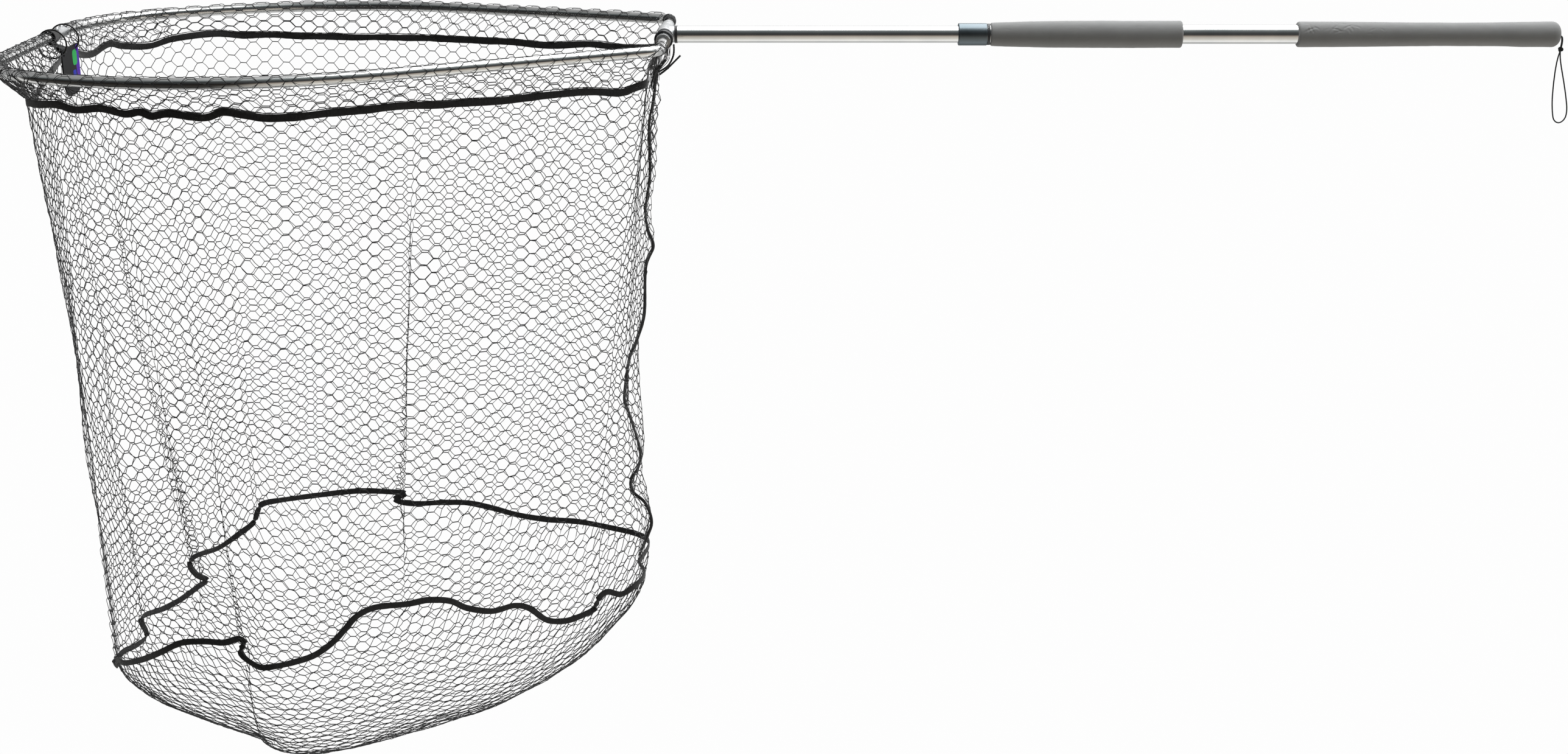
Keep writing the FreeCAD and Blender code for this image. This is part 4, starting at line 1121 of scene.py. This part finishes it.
# %% Materials
def finish(name, rough, metallic=0.0, **sockets):
    """A material with its Principled node, its tree, and Object and UV coordinates."""
    made = bpy.data.materials.new("look_" + name)
    made.use_nodes = True
    tree = made.node_tree
    shader = tree.nodes["Principled BSDF"]
    shader.inputs["Roughness"].default_value = rough
    shader.inputs["Metallic"].default_value = metallic
    for label, value in sockets.items():
        shader.inputs[label.replace("_", " ")].default_value = value
    places = tree.nodes.new("ShaderNodeTexCoord").outputs
    return made, tree, shader, places


def colour_between(tree, shader, mask, first, second):
    """Base colour mixed from two colours by a mask."""
    mix = add(tree, "ShaderNodeMix", {"Factor": mask, "A": (*first, 1), "B": (*second, 1)}, data_type="RGBA")
    tree.links.new(mix.outputs["Result"], shader.inputs["Base Color"])


def bump(tree, shader, height, strength, distance):
    """Small relief on the normal, with its depth in metres."""
    made = add(tree, "ShaderNodeBump", {"Height": height, "Strength": strength, "Distance": distance})
    tree.links.new(made.outputs["Normal"], shader.inputs["Normal"])


def metal(name, dark, light, rough_low, rough_high, along_x, lines, depth):
    """Drawn or cast metal: colour and roughness vary with smudges, and fine lines run along X."""
    made, tree, shader, places = finish(name, rough_low, 1.0)
    out = use(tree, drawn_metal, {"Vector": places["Object"], "Along": along_x})
    colour_between(tree, shader, out["Smudge"], dark, light)
    mixed = calc(tree, "MULTIPLY_ADD", out["Lines"], lines, calc(tree, "MULTIPLY", out["Smudge"], 1 - lines))
    tree.links.new(stretch_range(tree, mixed, 0.2, 0.8, rough_low, rough_high), shader.inputs["Roughness"])
    bump(tree, shader, out["Lines"], 0.25, depth)
    return made


def gritty(name, dark, light, scale, rough, depth, strength=0.5, **sockets):
    """Foam, rubber or moulded plastic: pores in the relief and a patchy colour."""
    made, tree, shader, places = finish(name, rough, **sockets)
    out = use(tree, grit, {"Vector": places["Object"], "Scale": scale})
    mask = calc(tree, "MULTIPLY_ADD", out["Pores"], 0.5, calc(tree, "MULTIPLY", out["Patches"], 0.5))
    colour_between(tree, shader, mask, dark, light)
    varied = stretch_range(tree, out["Pores"], 0.2, 0.8, rough - 0.06, rough + 0.06)
    tree.links.new(varied, shader.inputs["Roughness"])
    bump(tree, shader, out["Pores"], strength, depth)
    return made


def corded(name, dark, faded, rough, **sockets):
    """Yarn and cord: fibres in the relief and faded stretches in the colour."""
    made, tree, shader, places = finish(name, rough, **sockets)
    out = use(tree, yarn, {"Vector": places["Object"]})
    colour_between(tree, shader, out["Faded"], dark, faded)
    bump(tree, shader, out["Fibres"], 0.5, 0.12 * MM)
    return made


def woven(name, dark, light, rib):
    """Tape and webbing: crossing threads in the relief and a little pale fuzz."""
    made, tree, shader, places = finish(name, 0.85, Sheen_Weight=0.25, Sheen_Roughness=0.5)
    out = use(tree, weave, {"Vector": places["UV"], "Rib": rib})
    colour_between(tree, shader, out["Fuzz"], dark, light)
    bump(tree, shader, out["Threads"], 0.6, 0.22 * MM)
    return made


def tag_print():
    """The tag: a dark card with a purple far edge, a green field and a small blue field.

    Each field is a rounded shape in Object coordinates: 1 where (dy / a)^4 + (dz / b)^4 is under 1.
    """
    made, tree, shader, places = finish("tag_card", 0.5, Specular_IOR_Level=0.25)
    axes = add(tree, "ShaderNodeSeparateXYZ", {0: places["Object"]}).outputs
    low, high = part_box("tag_card")
    out = use(tree, grit, {"Vector": places["Object"], "Scale": 900.0})
    ground = add(tree, "ShaderNodeMix", {"Factor": out["Patches"], "A": (0.006, 0.006, 0.007, 1),
                                         "B": (0.016, 0.016, 0.018, 1)}, data_type="RGBA").outputs["Result"]
    wide, tall = high.y - low.y, high.z - low.z
    for at_y, at_z, reach_y, reach_z, colour in ((0.99, 0.62, 0.20, 0.36, (0.085, 0.018, 0.40)),
                                                 (0.74, 0.74, 0.13, 0.16, (0.03, 0.42, 0.10)),
                                                 (0.66, 0.42, 0.09, 0.07, (0.02, 0.03, 0.45))):
        off_y = calc(tree, "DIVIDE", calc(tree, "SUBTRACT", axes["Y"], low.y + at_y * wide), reach_y * wide)
        off_z = calc(tree, "DIVIDE", calc(tree, "SUBTRACT", axes["Z"], low.z + at_z * tall), reach_z * tall)
        total = calc(tree, "ADD", calc(tree, "POWER", calc(tree, "ABSOLUTE", off_y), 4.0),
                     calc(tree, "POWER", calc(tree, "ABSOLUTE", off_z), 4.0))
        inside = stretch_range(tree, total, 1.05, 0.95)
        ground = add(tree, "ShaderNodeMix", {"Factor": inside, "A": ground, "B": (*colour, 1)},
                     data_type="RGBA").outputs["Result"]
    tree.links.new(ground, shader.inputs["Base Color"])
    bump(tree, shader, out["Pores"], 0.15, 0.05 * MM)
    return made


looks = {
    "polished_tube": metal("polished_tube", (0.84, 0.85, 0.85), (0.93, 0.93, 0.92), 0.10, 0.19,
                           0.01, 0.7, 0.01 * MM),
    "satin_casting": metal("satin_casting", (0.66, 0.68, 0.69), (0.78, 0.79, 0.80), 0.24, 0.40,
                            0.6, 0.5, 0.04 * MM),
    "steel": metal("steel", (0.52, 0.53, 0.54), (0.66, 0.66, 0.67), 0.22, 0.36, 0.5, 0.5, 0.02 * MM),
    "collar_paint": metal("collar_paint", (0.135, 0.167, 0.185), (0.17, 0.20, 0.22), 0.33, 0.40,
                          1.0, 0.4, 0.015 * MM),
    "black_rubber": gritty("black_rubber", (0.030, 0.034, 0.040), (0.048, 0.052, 0.058), 1500.0,
                           0.42, 0.02 * MM),
    "grip_foam": gritty("grip_foam", (0.275, 0.278, 0.278), (0.325, 0.328, 0.328), 1300.0,
                        0.86, 0.06 * MM, 0.25,
                        Sheen_Weight=0.12, Sheen_Roughness=0.6),
    "black_nylon": gritty("black_nylon", (0.012, 0.012, 0.013), (0.028, 0.028, 0.030), 1100.0,
                          0.42, 0.03 * MM, 0.3),
    "pale_nylon": gritty("pale_nylon", (0.60, 0.60, 0.56), (0.74, 0.74, 0.70), 900.0, 0.45, 0.03 * MM, 0.3),
    "tie_plastic": gritty("tie_plastic", (0.006, 0.006, 0.006), (0.014, 0.014, 0.014), 500.0,
                          0.24, 0.02 * MM, 0.2),
    "net_cord": corded("net_cord", (0.020, 0.021, 0.023), (0.052, 0.053, 0.056), 0.55, Sheen_Weight=0.1),
    "lashing_cord": corded("lashing_cord", (0.022, 0.023, 0.026), (0.075, 0.078, 0.084), 0.45),
    "lanyard_cord": corded("lanyard_cord", (0.014, 0.017, 0.019), (0.045, 0.052, 0.056), 0.6),
    "binding_tape": woven("binding_tape", (0.013, 0.013, 0.014), (0.034, 0.034, 0.036), 1.1 * MM),
    "tag_web": woven("tag_web", (0.008, 0.008, 0.009), (0.024, 0.024, 0.025), 1.3 * MM),
    "tag_card": tag_print(),
}
for piece in bpy.data.objects:
    if piece.type == "MESH" and piece.get("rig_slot") in looks:
        piece.data.materials.clear()
        piece.data.materials.append(looks[piece["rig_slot"]])
for node_name, node_object in frame["nodes"].items():
    for place in node_object.material_slots:
        place.material = looks[place.material.name.split(".")[0]]
print(len(looks), "finishes")

# %% [markdown]
# ## Floor and light
# The stage is a plain white floor far below the bag, lit from above by one very wide soft light. A
# bright tube shows its surroundings, so the room matters more than any lamp: it is white overhead and
# behind, and dark towards the viewer up to about forty degrees, and that dark side is what draws the
# black band along each tube. The room is a gradient about the X axis, and only the camera's own rays
# see it plain white. The floor does the same with its far reach.

# %% Stage
FLOOR_Z, FLOOR_SIDE = -1.6, 60.0


def floor_and_room():
    """A plain floor and a world whose brightness depends on the angle about X, in degrees.

    Room: angle = atan2(z, -y), dark from 0 to 40, then rising to 0.7 at 85 and 0.95 at 180, which is
    behind. Floor: plain to the camera, and to other rays a strip along X, brightest under the handle.
    """
    corners = np.array([(-1, -1), (1, -1), (1, 1), (-1, 1)]) * FLOOR_SIDE / 2
    mesh = bpy.data.meshes.new("floor")
    mesh.from_pydata([(x, y, FLOOR_Z) for x, y in corners], [], [(0, 1, 2, 3)])
    floor = bpy.data.objects.new("floor", mesh)
    bpy.context.scene.collection.objects.link(floor)
    paint = bpy.data.materials.new("floor_white")
    paint.use_nodes = True
    tree = paint.node_tree
    tree.nodes.remove(tree.nodes["Principled BSDF"])
    plain = add(tree, "ShaderNodeEmission", {"Color": (1, 1, 1, 1), "Strength": 0.985})
    axes = place_axes(tree, "Object")
    down = calc(tree, "MULTIPLY", calc(tree, "ARCTAN2", calc(tree, "MULTIPLY", axes["Y"], -1.0), -FLOOR_Z),
                180 / math.pi)                             # 0 below the handle, 90 at the viewer's horizon
    glow = colour_ramp(tree, stretch_range(tree, down, -90, 90), (
        (0.0, (0.42, 0.43, 0.43)), (0.36, (0.46, 0.46, 0.45)), (0.52, (0.98, 0.97, 0.95)),
        (0.66, (0.70, 0.68, 0.63)), (0.86, (0.46, 0.42, 0.37)), (0.93, (0.28, 0.24, 0.20)),
        (1.0, (0.06, 0.055, 0.05))))
    front_end = stretch_range(tree, axes["X"], -1.75, -1.05, 0.06, 1.0)
    behind = stretch_range(tree, axes["Y"], -0.35, 0.15)
    far_reach = add(tree, "ShaderNodeEmission", {"Color": glow,
                                                 "Strength": calc(tree, "MAXIMUM", front_end, behind)})
    two_faced(tree, plain, far_reach, "Material Output")
    mesh.materials.append(paint)

    room = bpy.data.worlds.new("room")
    room.use_nodes = True
    bpy.context.scene.world = room
    tree = room.node_tree
    axes = place_axes(tree, "Generated")
    up = calc(tree, "ARCTAN2", axes["Z"], calc(tree, "MULTIPLY", axes["Y"], -1.0))
    up = calc(tree, "MULTIPLY", up, 180 / math.pi)
    glow = colour_ramp(tree, stretch_range(tree, up, 0, 180), (
        (0.0, (0.043, 0.043, 0.043)), (0.14, (0.055, 0.058, 0.058)), (0.26, (0.125, 0.14, 0.143)),
        (0.37, (0.40, 0.43, 0.43)), (0.48, (0.68, 0.69, 0.69)), (0.78, (0.70, 0.70, 0.70)),
        (1.0, (0.95, 0.95, 0.95))))
    front_end = stretch_range(tree, axes["X"], -0.45, 0.05, 0.42, 1.0)      # darker beyond the hoop
    around = add(tree, "ShaderNodeBackground", {"Color": glow, "Strength": front_end})
    plain = add(tree, "ShaderNodeBackground", {"Color": (1, 1, 1, 1), "Strength": 1.0})
    two_faced(tree, plain, around, "World Output")


floor_and_room()
lamp_data = bpy.data.lights.new("overhead", "AREA")
lamp_data.shape = "RECTANGLE"
lamp_data.size, lamp_data.size_y = 3.2, 4.5
lamp_data.energy = 160.0
lamp = bpy.data.objects.new("overhead", lamp_data)
lamp.location = (0.45, 1.45, 2.5)
bpy.context.scene.collection.objects.link(lamp)
bpy.context.scene.view_settings.view_transform = "Standard"
